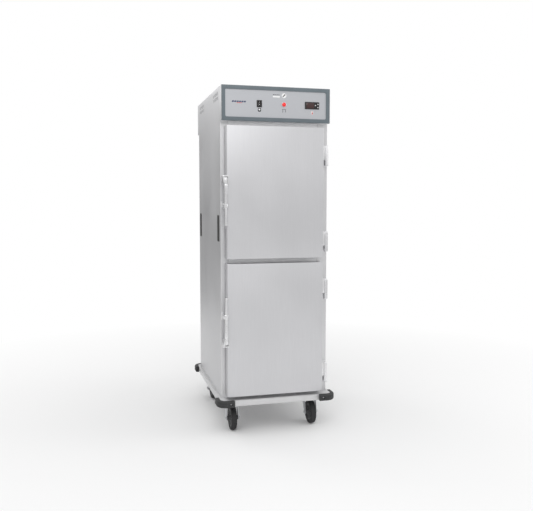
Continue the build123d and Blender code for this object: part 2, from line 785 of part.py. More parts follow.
def caster_fork(side, end):
    """Crown and two legs that reach to the axle, and the axle bolt as a solid of its own."""
    x = side * caster_x
    swivel_y = end * caster_y
    axle_y = end * (caster_y + caster_trail)
    crown_bottom = fork_top - fork_crown_height
    half = fork_width / 2
    lengths = around(swivel_y, fork_half_length)
    fork = block(around(x, half), lengths, (crown_bottom, fork_top))
    outline = [(lengths[0], fork_top), (lengths[1], fork_top)]
    outline += [(axle_y + fork_end_radius, wheel_radius), (axle_y - fork_end_radius, wheel_radius)]
    leg_face = make_face(Polyline(*outline, close=True)) + Pos(axle_y, wheel_radius) * Circle(fork_end_radius)
    for edge in (x - half, x + half - fork_sheet):
        fork += Pos(edge, 0, 0) * extrude(Plane.YZ * leg_face, fork_sheet)
    fork -= rod_z(kingpin_radius + running, x, swivel_y, crown_bottom, fork_top)
    fork -= rod_x(axle_radius, *around(x, half), axle_y, wheel_radius)
    bolt = rod_x(axle_radius, *around(x, half), axle_y, wheel_radius)
    for way in (-1, 1):
        head_x = (x + way * half, x + way * (half + axle_head_height))
        bolt += rod_x(axle_head_radius, *head_x, axle_y, wheel_radius)
    return [fork, bolt]


def caster_wheel(side, end):
    """Rubber tyre and the hub inside it, bored for the axle."""
    x = side * caster_x
    y = end * (caster_y + caster_trail)
    hub_radius = wheel_radius - tyre_depth
    tyre = rod_x(wheel_radius, *around(x, tyre_width / 2), y, wheel_radius)
    tyre = fillet(tyre.edges().filter_by(GeomType.CIRCLE), tyre_edge_radius)
    tyre -= rod_x(hub_radius, *around(x, tyre_width / 2), y, wheel_radius)
    boss_x = around(x, fork_width / 2 - fork_sheet - 2 * slack)
    hub = rod_x(hub_radius, *around(x, wheel_web / 2), y, wheel_radius)
    hub += rod_x(wheel_boss_radius, *boss_x, y, wheel_radius)
    hub -= rod_x(axle_radius + running, *boss_x, y, wheel_radius)
    return [tyre, hub]


# ---------------------------------------------------------------- write every node
corners = [(side, end) for side in (-1, 1) for end in (-1, 1)]
save("base_frame", [base_frame()])
save("corner_bumpers", [corner_bumper(*corner) for corner in corners])
save("left_side_panel", [side_panel(-1)])
save("right_side_panel", [side_panel(1)])
save("hand_grips", [hand_grip(*corner) for corner in corners])
save("door_frames", front_and_rear(door_frame()))
save("header_cover", header_cover())
save("cavity_liner", cavity_liner())
save("wall_insulation", wall_insulation())
save("tray_slides", tray_slides())
save("rack_uprights", rack_uprights())
save("fan_motor", [fan_motor()])
save("fan_wheel", [fan_wheel()])
save("heater_elements", heater_elements())
save("water_pan", [water_pan()])
save("control_bezel", [control_bezel()])
save("control_fascia", [control_fascia()])
save("switch_housing", [switch_housing()])
save("switch_rocker", [switch_rocker()])
save("pilot_lamp", [pilot_lamp()])
save("thermostat_case", [thermostat_case()])
for number, place in enumerate(key_places, start=1):
    save(f"thermostat_key_{number}", [thermostat_key(place)])
save("cord_gland", [cord_gland()])
save("caster_tops", [caster_top(*corner) for corner in corners])

frame_leaves = []
strikes = []
doors = (("upper", upper_door, upper_hinge_insets, True), ("lower", lower_door, lower_hinge_insets, False))
for level, z, insets, upper in doors:
    leaves = [hinge_door_leaf(centre) for centre in hinge_centres(z, insets)]
    frame_leaves += front_and_rear([hinge_frame_leaf(centre) for centre in hinge_centres(z, insets)])
    strikes += front_and_rear([latch_strike(z, upper)])
    pieces = {
        "door_skin": [door_skin(z)],
        "door_liner": [door_liner(z)],
        "door_gasket": [door_gasket(z)],
        "hinge_leaves": leaves,
        "latch_bracket": [latch_bracket(z, upper)],
        "latch_lever": [latch_lever(z, upper)],
    }
    for piece, shapes in pieces.items():
        save(f"front_{level}_{piece}", shapes)
        save(f"rear_{level}_{piece}", [half_turn(shape) for shape in shapes])
save("hinge_frame_leaves", frame_leaves)
save("latch_strikes", strikes)

for side, end in corners:
    name = f"{'front' if end < 0 else 'rear'}_{'left' if side < 0 else 'right'}"
    save(f"{name}_caster_fork", caster_fork(side, end))
    save(f"{name}_caster_wheel", caster_wheel(side, end))
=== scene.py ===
# %% [markdown]
# # A proofing cabinet, dressed in Blender
# A proofing cabinet is an insulated steel box on casters that keeps dough warm and moist while it rises.
# This one is a pass-through: it has two stacked doors in front and the same two behind. The engineering
# model arrives as a fixed frame, already at its real size and in its real place. This lesson gives each
# piece the rounded edges, folds, screws and finishes that make it look made rather than drawn, and never
# moves or resizes the frame.

# %% Load the frame
import json
from math import atan2, cos, pi, radians, sin, tau

import bmesh
import bpy
from mathutils import Matrix, Vector


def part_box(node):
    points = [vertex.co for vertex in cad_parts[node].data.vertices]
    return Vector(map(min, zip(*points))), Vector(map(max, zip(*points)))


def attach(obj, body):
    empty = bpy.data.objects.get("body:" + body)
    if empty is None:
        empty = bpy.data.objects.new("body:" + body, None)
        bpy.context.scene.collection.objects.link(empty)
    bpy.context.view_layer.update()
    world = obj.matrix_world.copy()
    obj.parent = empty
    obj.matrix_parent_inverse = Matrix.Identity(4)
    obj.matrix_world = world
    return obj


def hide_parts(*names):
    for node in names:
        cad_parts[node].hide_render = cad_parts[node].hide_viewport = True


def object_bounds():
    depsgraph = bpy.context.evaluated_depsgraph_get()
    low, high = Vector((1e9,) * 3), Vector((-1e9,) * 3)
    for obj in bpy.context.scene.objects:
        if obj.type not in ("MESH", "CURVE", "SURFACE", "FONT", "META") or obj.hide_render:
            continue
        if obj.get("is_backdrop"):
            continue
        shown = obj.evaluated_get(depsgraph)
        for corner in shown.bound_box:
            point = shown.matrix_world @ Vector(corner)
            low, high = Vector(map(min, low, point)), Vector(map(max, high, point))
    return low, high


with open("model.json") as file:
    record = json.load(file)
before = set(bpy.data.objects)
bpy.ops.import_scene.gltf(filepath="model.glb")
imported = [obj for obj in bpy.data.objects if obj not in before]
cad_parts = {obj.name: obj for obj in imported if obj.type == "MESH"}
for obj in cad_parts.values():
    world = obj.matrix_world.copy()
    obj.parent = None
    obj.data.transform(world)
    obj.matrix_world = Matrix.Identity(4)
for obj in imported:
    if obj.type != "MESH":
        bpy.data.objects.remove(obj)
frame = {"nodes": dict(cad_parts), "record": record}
cad_low, cad_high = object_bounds()
mm = 0.001
print("height:", round(cad_high.z, 3), "m")

# %% [markdown]
# ## Finishes
# A finish is a node material. Small helpers keep each recipe short: one starts a material and sets the
# numbers that are the same all over, straight on the shader; another adds a node and wires whatever is a
# socket; the rest are steps that most recipes share. All patterns read Object coordinates, in metres, so
# that a grain or a scuff has a real size and stays on its piece.

# %% Helpers for finishes
def start_finish(name, colour, **sockets):
    """A new material whose shader has these plain values."""
    finish = bpy.data.materials.new(name)
    finish.use_nodes = True
    shader = finish.node_tree.nodes["Principled BSDF"]
    shader.inputs["Base Color"].default_value = (*colour, 1.0)
    for socket, value in sockets.items():
        shader.inputs[socket.replace("_", " ")].default_value = value
    return finish


def add(finish, kind, inputs=None, **settings):
    """One more node. An input may be a number, a colour or another node's output."""
    node = finish.node_tree.nodes.new(kind)
    for key, value in settings.items():
        setattr(node, key, value)
    for socket, value in (inputs or {}).items():
        if isinstance(value, bpy.types.NodeSocket):
            finish.node_tree.links.new(value, node.inputs[socket])
        else:
            node.inputs[socket].default_value = value
    return node


def wire(finish, socket, output):
    """Joins an output to the shader's socket."""
    shader = finish.node_tree.nodes["Principled BSDF"]
    finish.node_tree.links.new(output, shader.inputs[socket])


def noise(finish, per_metre, detail=3.0, roughness=0.55):
    """Noise with so many lumps per metre along X, Y and Z."""
    place = add(finish, "ShaderNodeTexCoord")
    stretch = add(finish, "ShaderNodeMapping", {"Vector": place.outputs["Object"], "Scale": per_metre})
    settings = {"Vector": stretch.outputs[0], "Scale": 1.0, "Detail": detail, "Roughness": roughness}
    return add(finish, "ShaderNodeTexNoise", settings).outputs["Fac"]


def ramp(finish, value, low, high, start=0.3, end=0.7):
    """A value between start and end becomes one between low and high."""
    settings = {"Value": value, "From Min": start, "From Max": end, "To Min": low, "To Max": high}
    return add(finish, "ShaderNodeMapRange", settings).outputs[0]


def blend(finish, share, one, other):
    """A colour that goes from one to the other with the share."""
    node = add(finish, "ShaderNodeMix", data_type="RGBA")
    for socket, value in ((0, share), (6, one), (7, other)):
        if isinstance(value, bpy.types.NodeSocket):
            finish.node_tree.links.new(value, node.inputs[socket])
        else:
            node.inputs[socket].default_value = value if socket == 0 else (*value, 1.0)
    return node.outputs[2]


def relief(finish, height, depth, strength=1.0):
    """Bump from a height between 0 and 1 that stands for this depth in metres."""
    settings = {"Height": height, "Distance": depth, "Strength": strength}
    wire(finish, "Normal", add(finish, "ShaderNodeBump", settings).outputs["Normal"])


def edge_share(finish, radius):
    """Near 1 on edges and corners, and 0 on flat stretches."""
    rounded = add(finish, "ShaderNodeBevel", {"Radius": radius}, samples=4)
    flat = add(finish, "ShaderNodeNewGeometry")
    vectors = {0: rounded.outputs["Normal"], 1: flat.outputs["Normal"]}
    dot = add(finish, "ShaderNodeVectorMath", vectors, operation="DOT_PRODUCT")
    return ramp(finish, dot.outputs["Value"], 1.0, 0.0, 0.80, 0.98)


print("finish helpers are ready")

# %% [markdown]
# ## Brushed stainless steel
# Nearly everything that shows is satin stainless sheet. It is brushed in one direction, so the grain is a
# noise stretched along the brushing: thousands of lumps per metre across it and a few along it. A second,
# broader noise gives the soft cloudiness that cleaning leaves. The same recipe, with another direction and
# tone, makes the doors, the sides, the header and the bright inner liner. The grain also moves the
# roughness, because that is what the eye reads as brushing when a highlight crosses it.

# %% Steel recipe
def steel(name, tone, along, roughness=0.42, cloud=0.03, metal=1.0):
    """Brushed sheet. along is the axis of the brushing, 0 to 2."""
    finish = start_finish(name, tone, Metallic=metal)
    fine = [1500.0, 1500.0, 1500.0]
    fine[along] = 14.0
    broad = [75.0, 75.0, 75.0]
    broad[along] = 1.2
    grain = noise(finish, fine, 2.0, 0.5)
    streaks = noise(finish, broad, 4.0, 0.6)
    clouds = noise(finish, (3.1, 2.7, 2.3), 3.0)
    darker = [c * (1 - cloud) for c in tone]
    lighter = [min(1.0, c * (1 + cloud)) for c in tone]
    body = blend(finish, ramp(finish, clouds, 0.0, 1.0), darker, lighter)
    streaked = blend(finish, ramp(finish, streaks, 0.0, 0.14), body, [c * 0.93 for c in tone])
    brushed = blend(finish, ramp(finish, grain, 0.0, 0.13), streaked, [c * 0.80 for c in tone])
    wire(finish, "Base Color", brushed)
    uneven = ramp(finish, grain, -0.05, 0.07)
    rough = add(finish, "ShaderNodeMath", {0: uneven, 1: roughness}, operation="ADD")
    smudges = ramp(finish, clouds, -0.04, 0.05)
    smudged = add(finish, "ShaderNodeMath", {0: rough.outputs[0], 1: smudges}, operation="ADD")
    wire(finish, "Roughness", smudged.outputs[0])
    relief(finish, grain, 0.00004, 0.5)
    return finish


door_steel = steel("door_steel", (0.655, 0.655, 0.67), 2, roughness=0.46)
side_steel = steel("side_steel", (0.64, 0.64, 0.65), 2, roughness=0.50)
frame_steel = steel("frame_steel", (0.68, 0.68, 0.69), 2, metal=0.9)
# Rails get a paler, less metallic copy of the frame's steel: painted light that offsets the shade in their
# recess between the doors.
rail_steel = steel("rail_steel", (0.88, 0.88, 0.89), 0, roughness=0.5, metal=0.35)
base_steel = steel("base_steel", (0.66, 0.66, 0.665), 0, roughness=0.5, metal=0.8)
roof_steel = steel("roof_steel", (0.62, 0.62, 0.63), 0)
liner_steel = steel("liner_steel", (0.64, 0.64, 0.65), 1, roughness=0.28, cloud=0.07)
# Near-black finish for cut faces: partly laser oxide, partly painted shade for the inside of the slits.
oxide_and_slit_shade_steel = steel("laser_cut_edge_steel", (0.050, 0.050, 0.053), 0, roughness=0.7, metal=0.3)
print("steels:", [m.name for m in bpy.data.materials if m.name.endswith("steel")])

# %% [markdown]
# ## Cast, plated and dark metals
# Hinges and latches are cast, tumbled and satin plated. Tumbling leaves no direction, only a faint even
# mottling, so their noise isn't stretched. The casters are zinc plated, which has a cool tint and a spangle
# of slightly different patches, made here with Voronoi cells. The heater's sheath is steel that heat has
# turned brown and dull.

# %% Cast, plated and dark metals
def plated(name, tone, roughness, spangle, depth=0.00003):
    """Metal with no brushing, mottled in patches about spangle metres across."""
    finish = start_finish(name, tone, Metallic=1.0)
    place = add(finish, "ShaderNodeTexCoord").outputs["Object"]
    cells = add(finish, "ShaderNodeTexVoronoi", {"Vector": place, "Scale": 1.0 / spangle}).outputs["Color"]
    patch = add(finish, "ShaderNodeSeparateColor", {0: cells}).outputs[0]
    mottle = noise(finish, (900.0, 900.0, 900.0), 3.0)
    tones = blend(finish, patch, [c * 0.93 for c in tone], [min(1.0, c * 1.05) for c in tone])
    # Edges and corners painted brighter: partly wear, partly a painted highlight.
    bright = [min(1.0, c * 1.25) for c in tone]
    wire(finish, "Base Color", blend(finish, edge_share(finish, 0.0012), tones, bright))
    wire(finish, "Roughness", ramp(finish, mottle, roughness - 0.05, roughness + 0.08))
    relief(finish, mottle, depth, 0.5)
    return finish


fitting_metal = plated("satin_plated_casting", (0.80, 0.80, 0.81), 0.30, 0.004)
zinc_metal = plated("zinc_plated_steel", (0.60, 0.61, 0.63), 0.34, 0.006)
screw_metal = plated("stainless_screw", (0.58, 0.58, 0.59), 0.25, 0.002)
sheath_metal = plated("heater_sheath", (0.20, 0.17, 0.15), 0.55, 0.005)
print("metals:", fitting_metal.name, zinc_metal.name, screw_metal.name, sheath_metal.name)

# %% [markdown]
# ## Paint and film on the control panel
# The panel's frame is powder coated, which dries with a fine orange peel: a shallow bump with about one
# lump per millimetre and a half. Its edges are painted lighter, partly as thin, worn paint and partly as a
# painted highlight. The fascia is a satin film with an even sparkle, so it gets a very fine noise in colour
# and roughness and no direction.

# %% Paint and film
def powder_coat(name, tone):
    """Powder coat with a fine orange peel, paler on its edges."""
    finish = start_finish(name, tone, Specular_IOR_Level=0.5)
    peel = noise(finish, (650.0, 650.0, 650.0), 1.0)
    patches = noise(finish, (9.0, 9.0, 9.0), 3.0)
    darker, lighter = [c * 0.92 for c in tone], [c * 1.08 for c in tone]
    varied = blend(finish, ramp(finish, patches, 0.0, 1.0), darker, lighter)
    # Edges painted lighter: partly worn paint, partly a painted highlight where light catches them.
    edge_wear_and_highlight = [min(1.0, c * 1.7 + 0.03) for c in tone]
    wire(finish, "Base Color", blend(finish, edge_share(finish, 0.0015), varied, edge_wear_and_highlight))
    wire(finish, "Roughness", ramp(finish, patches, 0.38, 0.50))
    relief(finish, peel, 0.00012, 0.35)
    return finish


def fascia_film(name, tone):
    """Satin film with a fine sparkle."""
    finish = start_finish(name, tone, Metallic=0.35)
    sparkle = noise(finish, (2600.0, 2600.0, 2600.0), 1.0, 0.4)
    haze = noise(finish, (6.0, 6.0, 6.0), 2.0)
    darker, lighter = [c * 0.93 for c in tone], [c * 1.05 for c in tone]
    flecked = blend(finish, ramp(finish, sparkle, 0.0, 1.0), darker, lighter)
    wire(finish, "Base Color", blend(finish, ramp(finish, haze, 0.0, 0.25), flecked, [c * 0.9 for c in tone]))
    wire(finish, "Roughness", ramp(finish, haze, 0.36, 0.46))
    relief(finish, sparkle, 0.00003, 0.3)
    return finish


bezel_paint = powder_coat("blue_grey_powder_coat", (0.128, 0.156, 0.174))
fascia_skin = fascia_film("satin_fascia_film", (0.50, 0.51, 0.535))
print("panel finishes:", bezel_paint.name, fascia_skin.name)

# %% [markdown]
# ## Rubber and plastic
# Rubber is the darkest thing on the cabinet, yet never black: it carries dust in its pores. Moulded plastic
# has a spark-eroded grain, which is a fine even bump. Every edge of both is paler, partly scuffs and finger
# polish and partly a painted highlight. Both come from one recipe with another grain, gloss and amount of
# dust.

# %% Rubber and plastic
def moulded(name, tone, roughness, grain_size, dust=0.0, edge_wear_and_highlight=0.0, depth=0.00008):
    """Moulded rubber or plastic, with its grain, its dust and its paler edges."""
    finish = start_finish(name, tone)
    per_metre = 1.0 / grain_size
    grain = noise(finish, (per_metre, per_metre, per_metre), 2.0)
    scuffs = noise(finish, (38.0, 38.0, 38.0), 6.0, 0.7)
    dusty = [c + dust for c in tone]
    body = blend(finish, ramp(finish, scuffs, 0.0, 1.0, 0.45, 0.75), tone, dusty)
    # Edges painted paler: partly scuffs and polish, partly a painted highlight.
    pale = [c + edge_wear_and_highlight for c in tone]
    wire(finish, "Base Color", blend(finish, edge_share(finish, 0.0015), body, pale))
    wire(finish, "Roughness", ramp(finish, scuffs, roughness - 0.06, roughness + 0.1))
    relief(finish, grain, depth, 0.5)
    return finish


bumper_rubber = moulded("bumper_rubber", (0.020, 0.020, 0.021), 0.52, 0.0014, dust=0.018, edge_wear_and_highlight=0.05)
tyre_rubber = moulded("tyre_rubber", (0.011, 0.011, 0.012), 0.60, 0.0018, dust=0.010, edge_wear_and_highlight=0.02)
gasket_rubber = moulded("gasket_rubber", (0.16, 0.16, 0.165), 0.60, 0.0012, dust=0.03, edge_wear_and_highlight=0.02)
grip_plastic = moulded("grained_black_plastic", (0.018, 0.018, 0.018), 0.45, 0.0009, dust=0.006, edge_wear_and_highlight=0.02)
gloss_plastic = moulded("gloss_black_plastic", (0.012, 0.012, 0.012), 0.16, 0.0030, dust=0.003, edge_wear_and_highlight=0.01,
                        depth=0.00001)
hub_plastic = moulded("hub_plastic", (0.045, 0.046, 0.048), 0.42, 0.0012, dust=0.02, edge_wear_and_highlight=0.03)
key_plastic = moulded("pale_key_plastic", (0.66, 0.66, 0.66), 0.35, 0.0009, dust=-0.06, edge_wear_and_highlight=0.05)
wool = moulded("mineral_wool", (0.72, 0.66, 0.42), 0.9, 0.0040, dust=-0.12, edge_wear_and_highlight=0.0, depth=0.002)
print("moulded finishes:", sum("rubber" in m.name or "plastic" in m.name for m in bpy.data.materials))

# %% [markdown]
# ## Lens, window and printing
# The pilot lamp is a clear red lens over a bulb that is lit, so it has a little light of its own. The
# thermostat's window is dark red acrylic over an unlit display. Inks are flat and slightly rough, with the
# fine speckle that a screen leaves in them.

# %% Lens, window and inks
def clear_plastic(name, tone, glow=0.0):
    """Tinted clear plastic with faint flow lines inside."""
    finish = start_finish(name, tone, Coat_Weight=0.6, Coat_Roughness=0.05)
    flow = noise(finish, (420.0, 420.0, 420.0), 2.0)
    wire(finish, "Base Color", blend(finish, ramp(finish, flow, 0.0, 1.0), [c * 0.8 for c in tone], tone))
    wire(finish, "Roughness", ramp(finish, flow, 0.10, 0.20))
    shader = finish.node_tree.nodes["Principled BSDF"]
    shader.inputs["Emission Color"].default_value = (*tone, 1.0)
    shader.inputs["Emission Strength"].default_value = glow
    return finish


def ink(name, tone):
    """Screen-printed ink."""
    finish = start_finish(name, tone)
    speckle = noise(finish, (3200.0, 3200.0, 3200.0), 1.0)
    thin = [c * 0.8 + 0.02 for c in tone]
    wire(finish, "Base Color", blend(finish, ramp(finish, speckle, 0.0, 0.5), tone, thin))
    wire(finish, "Roughness", ramp(finish, speckle, 0.45, 0.6))
    return finish


lens_plastic = clear_plastic("red_lens", (0.80, 0.012, 0.010), glow=0.22)
window_plastic = clear_plastic("dark_red_window", (0.040, 0.007, 0.006))
dark_ink = ink("dark_ink", (0.035, 0.037, 0.042))
navy_ink = ink("navy_ink", (0.030, 0.042, 0.120))
red_ink = ink("red_ink", (0.70, 0.045, 0.035))
white_ink = ink("white_ink", (0.86, 0.86, 0.86))
print("finishes in all:", len(bpy.data.materials))

# %% [markdown]
# ## Tools for making pieces
# Every piece starts in a bmesh from one of its primitives and is shaped with its operators. The helpers
# here cover the cabinet's trades: a block with rounded edges for folded and moulded things, a rod, a turned
# profile for wheels and knobs, a flat outline that is thickened, a ring of equal blocks, and a screw.
# Profiles and outlines are lists of pairs, so one helper turns pairs of millimetres into metres and another
# gives a rectangle's corners.

# %% Shaping helpers
SQUARE = ((-1, -1), (1, -1), (1, 1), (-1, 1))


def in_mm(*pairs):
    """Pairs of millimetres, as metres."""
    return [(a * mm, b * mm) for a, b in pairs]


def bar(x0, x1, z0, z1, slant=0.0):
    """Corners of a rectangle, leaning by slant."""
    return [(x0, z0), (x1, z0), (x1 + slant, z1), (x0 + slant, z1)]


def arc(centre, radius, start, end, steps=6):
    """Points of (radius, distance) on an arc, for a profile. Angles are in degrees."""
    angles = [radians(start + (end - start) * i / steps) for i in range(steps + 1)]
    return [(centre[0] + radius * cos(a), centre[1] + radius * sin(a)) for a in angles]


def bevel(bm, geom, offset, segments, affect="EDGES"):
    """Rounds these edges, or these corners."""
    bmesh.ops.bevel(bm, geom=geom, offset=offset, offset_type="OFFSET", segments=segments, profile=0.5,
                    affect=affect, material=-1, clamp_overlap=True)


def push_face(bm, face, way):
    """Extrudes a face along a vector. Gives the new end face."""
    grown = bmesh.ops.extrude_face_region(bm, geom=[face])["geom"]
    verts = [g for g in grown if isinstance(g, bmesh.types.BMVert)]
    bmesh.ops.translate(bm, vec=way, verts=verts)
    return next(g for g in grown if isinstance(g, bmesh.types.BMFace))


def along(edge, axis):
    """True if an edge runs along this axis."""
    way = edge.verts[1].co - edge.verts[0].co
    return abs(way[axis]) > 0.9 * way.length


def round_block(bm, low, high, radius=0.0, segments=3, only=None):
    """A block between two corners. Its edges, or those that only() picks, are rounded."""
    low, high = Vector(low), Vector(high)
    verts = bmesh.ops.create_cube(bm, size=1.0)["verts"]
    bmesh.ops.scale(bm, vec=[abs(d) for d in high - low], verts=verts)
    bmesh.ops.translate(bm, vec=(low + high) / 2, verts=verts)
    edges = list(dict.fromkeys(e for v in verts for e in v.link_edges))
    if only is not None:
        edges = [e for e in edges if only(e)]
    if radius and edges:
        bevel(bm, edges, radius, segments)


def block_ring(bm, count, axis, place, blocks):
    """Rounded blocks, each as (low, high, radius), repeated round an axis through a place."""
    for step in range(count):
        before = set(bm.verts)
        for low, high, radius in blocks:
            round_block(bm, low, high, radius, 2)
        fresh = [v for v in bm.verts if v not in before]
        turn = Matrix.Rotation(step * tau / count, 3, axis)
        bmesh.ops.rotate(bm, cent=(0, 0, 0), matrix=turn, verts=fresh)
        bmesh.ops.translate(bm, vec=place, verts=fresh)


def turned(bm, profile, centre, axis, steps=48):
    """Spins points of (radius, distance along the axis) a full turn round the axis at centre."""
    axis, centre = Vector(axis), Vector(centre)
    out = axis.orthogonal().normalized()
    verts = [bm.verts.new(centre + out * r + axis * t) for r, t in profile]
    edges = [bm.edges.new(pair) for pair in zip(verts, verts[1:])]
    bmesh.ops.spin(bm, geom=verts + edges, cent=centre, axis=axis, angle=tau, steps=steps, use_merge=True)


def rod(bm, start, end, radius, edge=0.0, steps=32):
    """A solid bar with rounded ends, turned about its own axis."""
    start, end = Vector(start), Vector(end)
    long = (end - start).length
    edge = max(edge, 0.00005)
    profile = [(0, 0)] + arc((radius - edge, edge), edge, -90, 0, 3)
    profile += arc((radius - edge, long - edge), edge, 0, 90, 3) + [(0, long)]
    turned(bm, profile, start, (end - start).normalized(), steps)


def outline_plate(bm, points, thickness, corner_radii, rim=0.0):
    """A face through these points, with rounded corners, thickened along a vector."""
    earlier = set(bm.faces)
    verts = [bm.verts.new(p) for p in points]
    bm.faces.new(verts)
    for vert, radius in zip(verts, corner_radii):
        if radius:
            bevel(bm, [vert], radius, 6, "VERTICES")
    face = next(f for f in bm.faces if f not in earlier)
    end = push_face(bm, face, thickness)
    if rim:
        bevel(bm, list(end.edges), rim, 3)


def front_plate(bm, outline, y, depth, radius, rim=0.0):
    """A plate that starts at y, through points of (x, z), with equal corners."""
    outline_plate(bm, [(x, y, z) for x, z in outline], (0, depth, 0), [radius] * len(outline), rim)


def level_plate(bm, centre, half_x, half_y, depth, radius, rim=0.0):
    """A level rectangle round its centre, thickened by depth along Z."""
    x, y, z = centre
    corners = [(x + a * half_x, y + b * half_y, z) for a, b in SQUARE]
    outline_plate(bm, corners, (0, 0, depth), [radius] * 4, rim)


def screw(bm, place, axis, radius, height, slots=6):
    """A domed screw head with a recess in its middle. The dome starts no lower than the recess's floor."""
    floor = height * 0.3
    dome = arc((0, height - 1.6 * radius), 1.6 * radius, 51.3, 72, 4)
    base = [(radius, -0.3 * mm), (radius, dome[0][1] * 0.5)]
    recess = [(radius * 0.42, height * 0.94), (radius * 0.36, height * 0.35), (0, height * 0.30)]
    turned(bm, base + [(r, max(t, floor)) for r, t in dome] + recess, place, axis, 4 * slots)


print("shaping helpers are ready")

# %% [markdown]
# ## From mesh to piece
# A finished bmesh becomes an object at the origin: doubles are merged, faces turned outwards, sharp edges
# kept and the rest smoothed, and it rides on its body. The rear of the cabinet is the front after half a
# turn about the vertical, which also swaps left and right, so a front piece can leave a turned copy for the
# rear.

# %% Finishing helpers
slot_of = {part["node"]: part["material_slot"] for part in frame["record"]["subparts"]}
opposite_word = {"front": "rear", "left": "right", "right": "left"}
merge_distance = 0.002 * mm
sharp_from = radians(32)


def behind(name):
    """The name of what stands behind after half a turn about the vertical."""
    return "_".join(opposite_word.get(word, word) for word in name.split("_"))


def clean(bm):
    """Merges doubles and turns the faces outwards."""
    bmesh.ops.remove_doubles(bm, verts=bm.verts, dist=merge_distance)
    bmesh.ops.recalc_face_normals(bm, faces=bm.faces)


def join(bm, other):
    """Moves the second bmesh's faces into the first."""
    spare = bpy.data.meshes.new("spare")
    other.to_mesh(spare)
    other.free()
    bm.from_mesh(spare)
    bpy.data.meshes.remove(spare)


def new_object(name, bm):
    """Closes a bmesh into an object at the origin, with no piece of the frame behind it yet."""
    mesh = bpy.data.meshes.new(name)
    bm.to_mesh(mesh)
    bm.free()
    piece = bpy.data.objects.new(name, mesh)
    bpy.context.scene.collection.objects.link(piece)
    return piece


def ride_as(piece, body, stands_for):
    """Puts a piece on its body's empty and hides the frame's nodes that it stands for."""
    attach(piece, body)
    if stands_for:
        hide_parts(*stands_for)


def dress(piece, finish, body, stands_for=(), to_rear=False):
    """Gives a finished mesh its material, smoothing and body. to_rear leaves a turned copy at the rear."""
    if not piece.data.materials:
        piece.data.materials.append(finish)
    piece.data.shade_smooth()
    piece.data.set_sharp_from_angle(angle=sharp_from)
    if to_rear:
        rear = bpy.data.objects.new(behind(piece.name), piece.data.copy())
        bpy.context.scene.collection.objects.link(rear)
        rear.data.transform(Matrix.Rotation(pi, 4, "Z"))
        ride_as(rear, behind(body), [behind(node) for node in stands_for if behind(node) != node])
    ride_as(piece, body, stands_for)
    print(f"{piece.name}: {len(piece.data.polygons)} faces on {body}")


def settle(name, bm, finish, body, stands_for=(), to_rear=False):
    """Makes the piece from its bmesh and dresses it."""
    clean(bm)
    dress(new_object(name, bm), finish, body, stands_for, to_rear)


def cut_out(name, bm, cutter_bm, finish=None, cut_finish=None):
    """The first bmesh less the second, both closed, as an object. The cut faces can have their own finish."""
    clean(bm)
    clean(cutter_bm)
    piece = new_object(name, bm)
    cutter = new_object(name + "_cutter", cutter_bm)
    if cut_finish:
        piece.data.materials.append(finish)
        cutter.data.materials.append(cut_finish)
    step = piece.modifiers.new("cut", "BOOLEAN")
    step.object = cutter
    step.operation = "DIFFERENCE"
    step.solver = "EXACT"
    step.use_self = True
    if cut_finish:
        step.material_mode = "TRANSFER"
    bpy.context.view_layer.update()
    done = bpy.data.meshes.new_from_object(piece.evaluated_get(bpy.context.evaluated_depsgraph_get()))
    piece.modifiers.clear()
    piece.data = done
    bpy.data.objects.remove(cutter)
    return piece


print("finishing helpers are ready")

# %% [markdown]
# ## Base platform
# The cabinet stands on a welded platform: a deck sheet whose edge laps a skirt, so a fine shadow line runs
# all round under the deck's edge. Two rounded blocks, the skirt set in by under a millimetre, give that
# line from real geometry, and a bump would lose it when seen from low down. The frame gives both corners of
# the platform.

# %% Base platform
base_low, base_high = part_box("base_frame")
deck_sheet = 3.5 * mm
lap = 0.8 * mm
deck_z = base_high.z - deck_sheet
bm = bmesh.new()
round_block(bm, (base_low.x, base_low.y, deck_z), base_high, 1.6 * mm, 4)
round_block(bm, (base_low.x + lap, base_low.y + lap, base_low.z),
            (base_high.x - lap, base_high.y - lap, deck_z), 1.6 * mm, 4)
settle("base_platform", bm, base_steel, "cabinet", ["base_frame"])

# %% [markdown]
# ## Corner bumpers
# Each corner of the platform wears a moulded rubber bumper that keeps it from scarring door frames. A
# moulding with one section all along is a sweep: the section is a face with rounded corners and a shallow
# groove, it is extruded along one leg, spun a quarter turn round the corner and extruded along the other
# leg. The screw recesses are cut last, because a sweep can't hold them.

# %% Bumper moulding
low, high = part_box("corner_bumpers")
bumper_leg = 91 * mm
corner_radius = 50 * mm
hole_at = bumper_leg - 20 * mm
middle_z = (low.z + high.z) / 2


def bumper(bm):
    """One bumper in the +X +Y corner."""
    inner, outer = base_high.x, high.x
    start = high.y - bumper_leg
    groove = [(outer, middle_z - 2.2 * mm), (outer - 1.6 * mm, middle_z), (outer, middle_z + 2.2 * mm)]
    section = [(inner, low.z), (outer, low.z)] + groove + [(outer, high.z), (inner, high.z)]
    verts = [bm.verts.new((x, start, z)) for x, z in section]
    bm.faces.new(verts)
    for vert, radius in zip(verts, (0, 9, 0.8, 1, 0.8, 9, 0)):
        if radius:
            bevel(bm, [vert], radius * mm, 5, "VERTICES")
    bm.faces.ensure_lookup_table()
    centre = Vector((high.x - corner_radius, high.y - corner_radius, middle_z))
    face = push_face(bm, bm.faces[-1], (0, centre.y - start, 0))
    spun = bmesh.ops.spin(bm, geom=[face] + list(face.edges) + list(face.verts), cent=centre, axis=(0, 0, 1),
                          angle=pi / 2, steps=10, use_merge=False)["geom_last"]
    face = next(g for g in spun if isinstance(g, bmesh.types.BMFace))
    push_face(bm, face, (high.x - bumper_leg - centre.x, 0, 0))


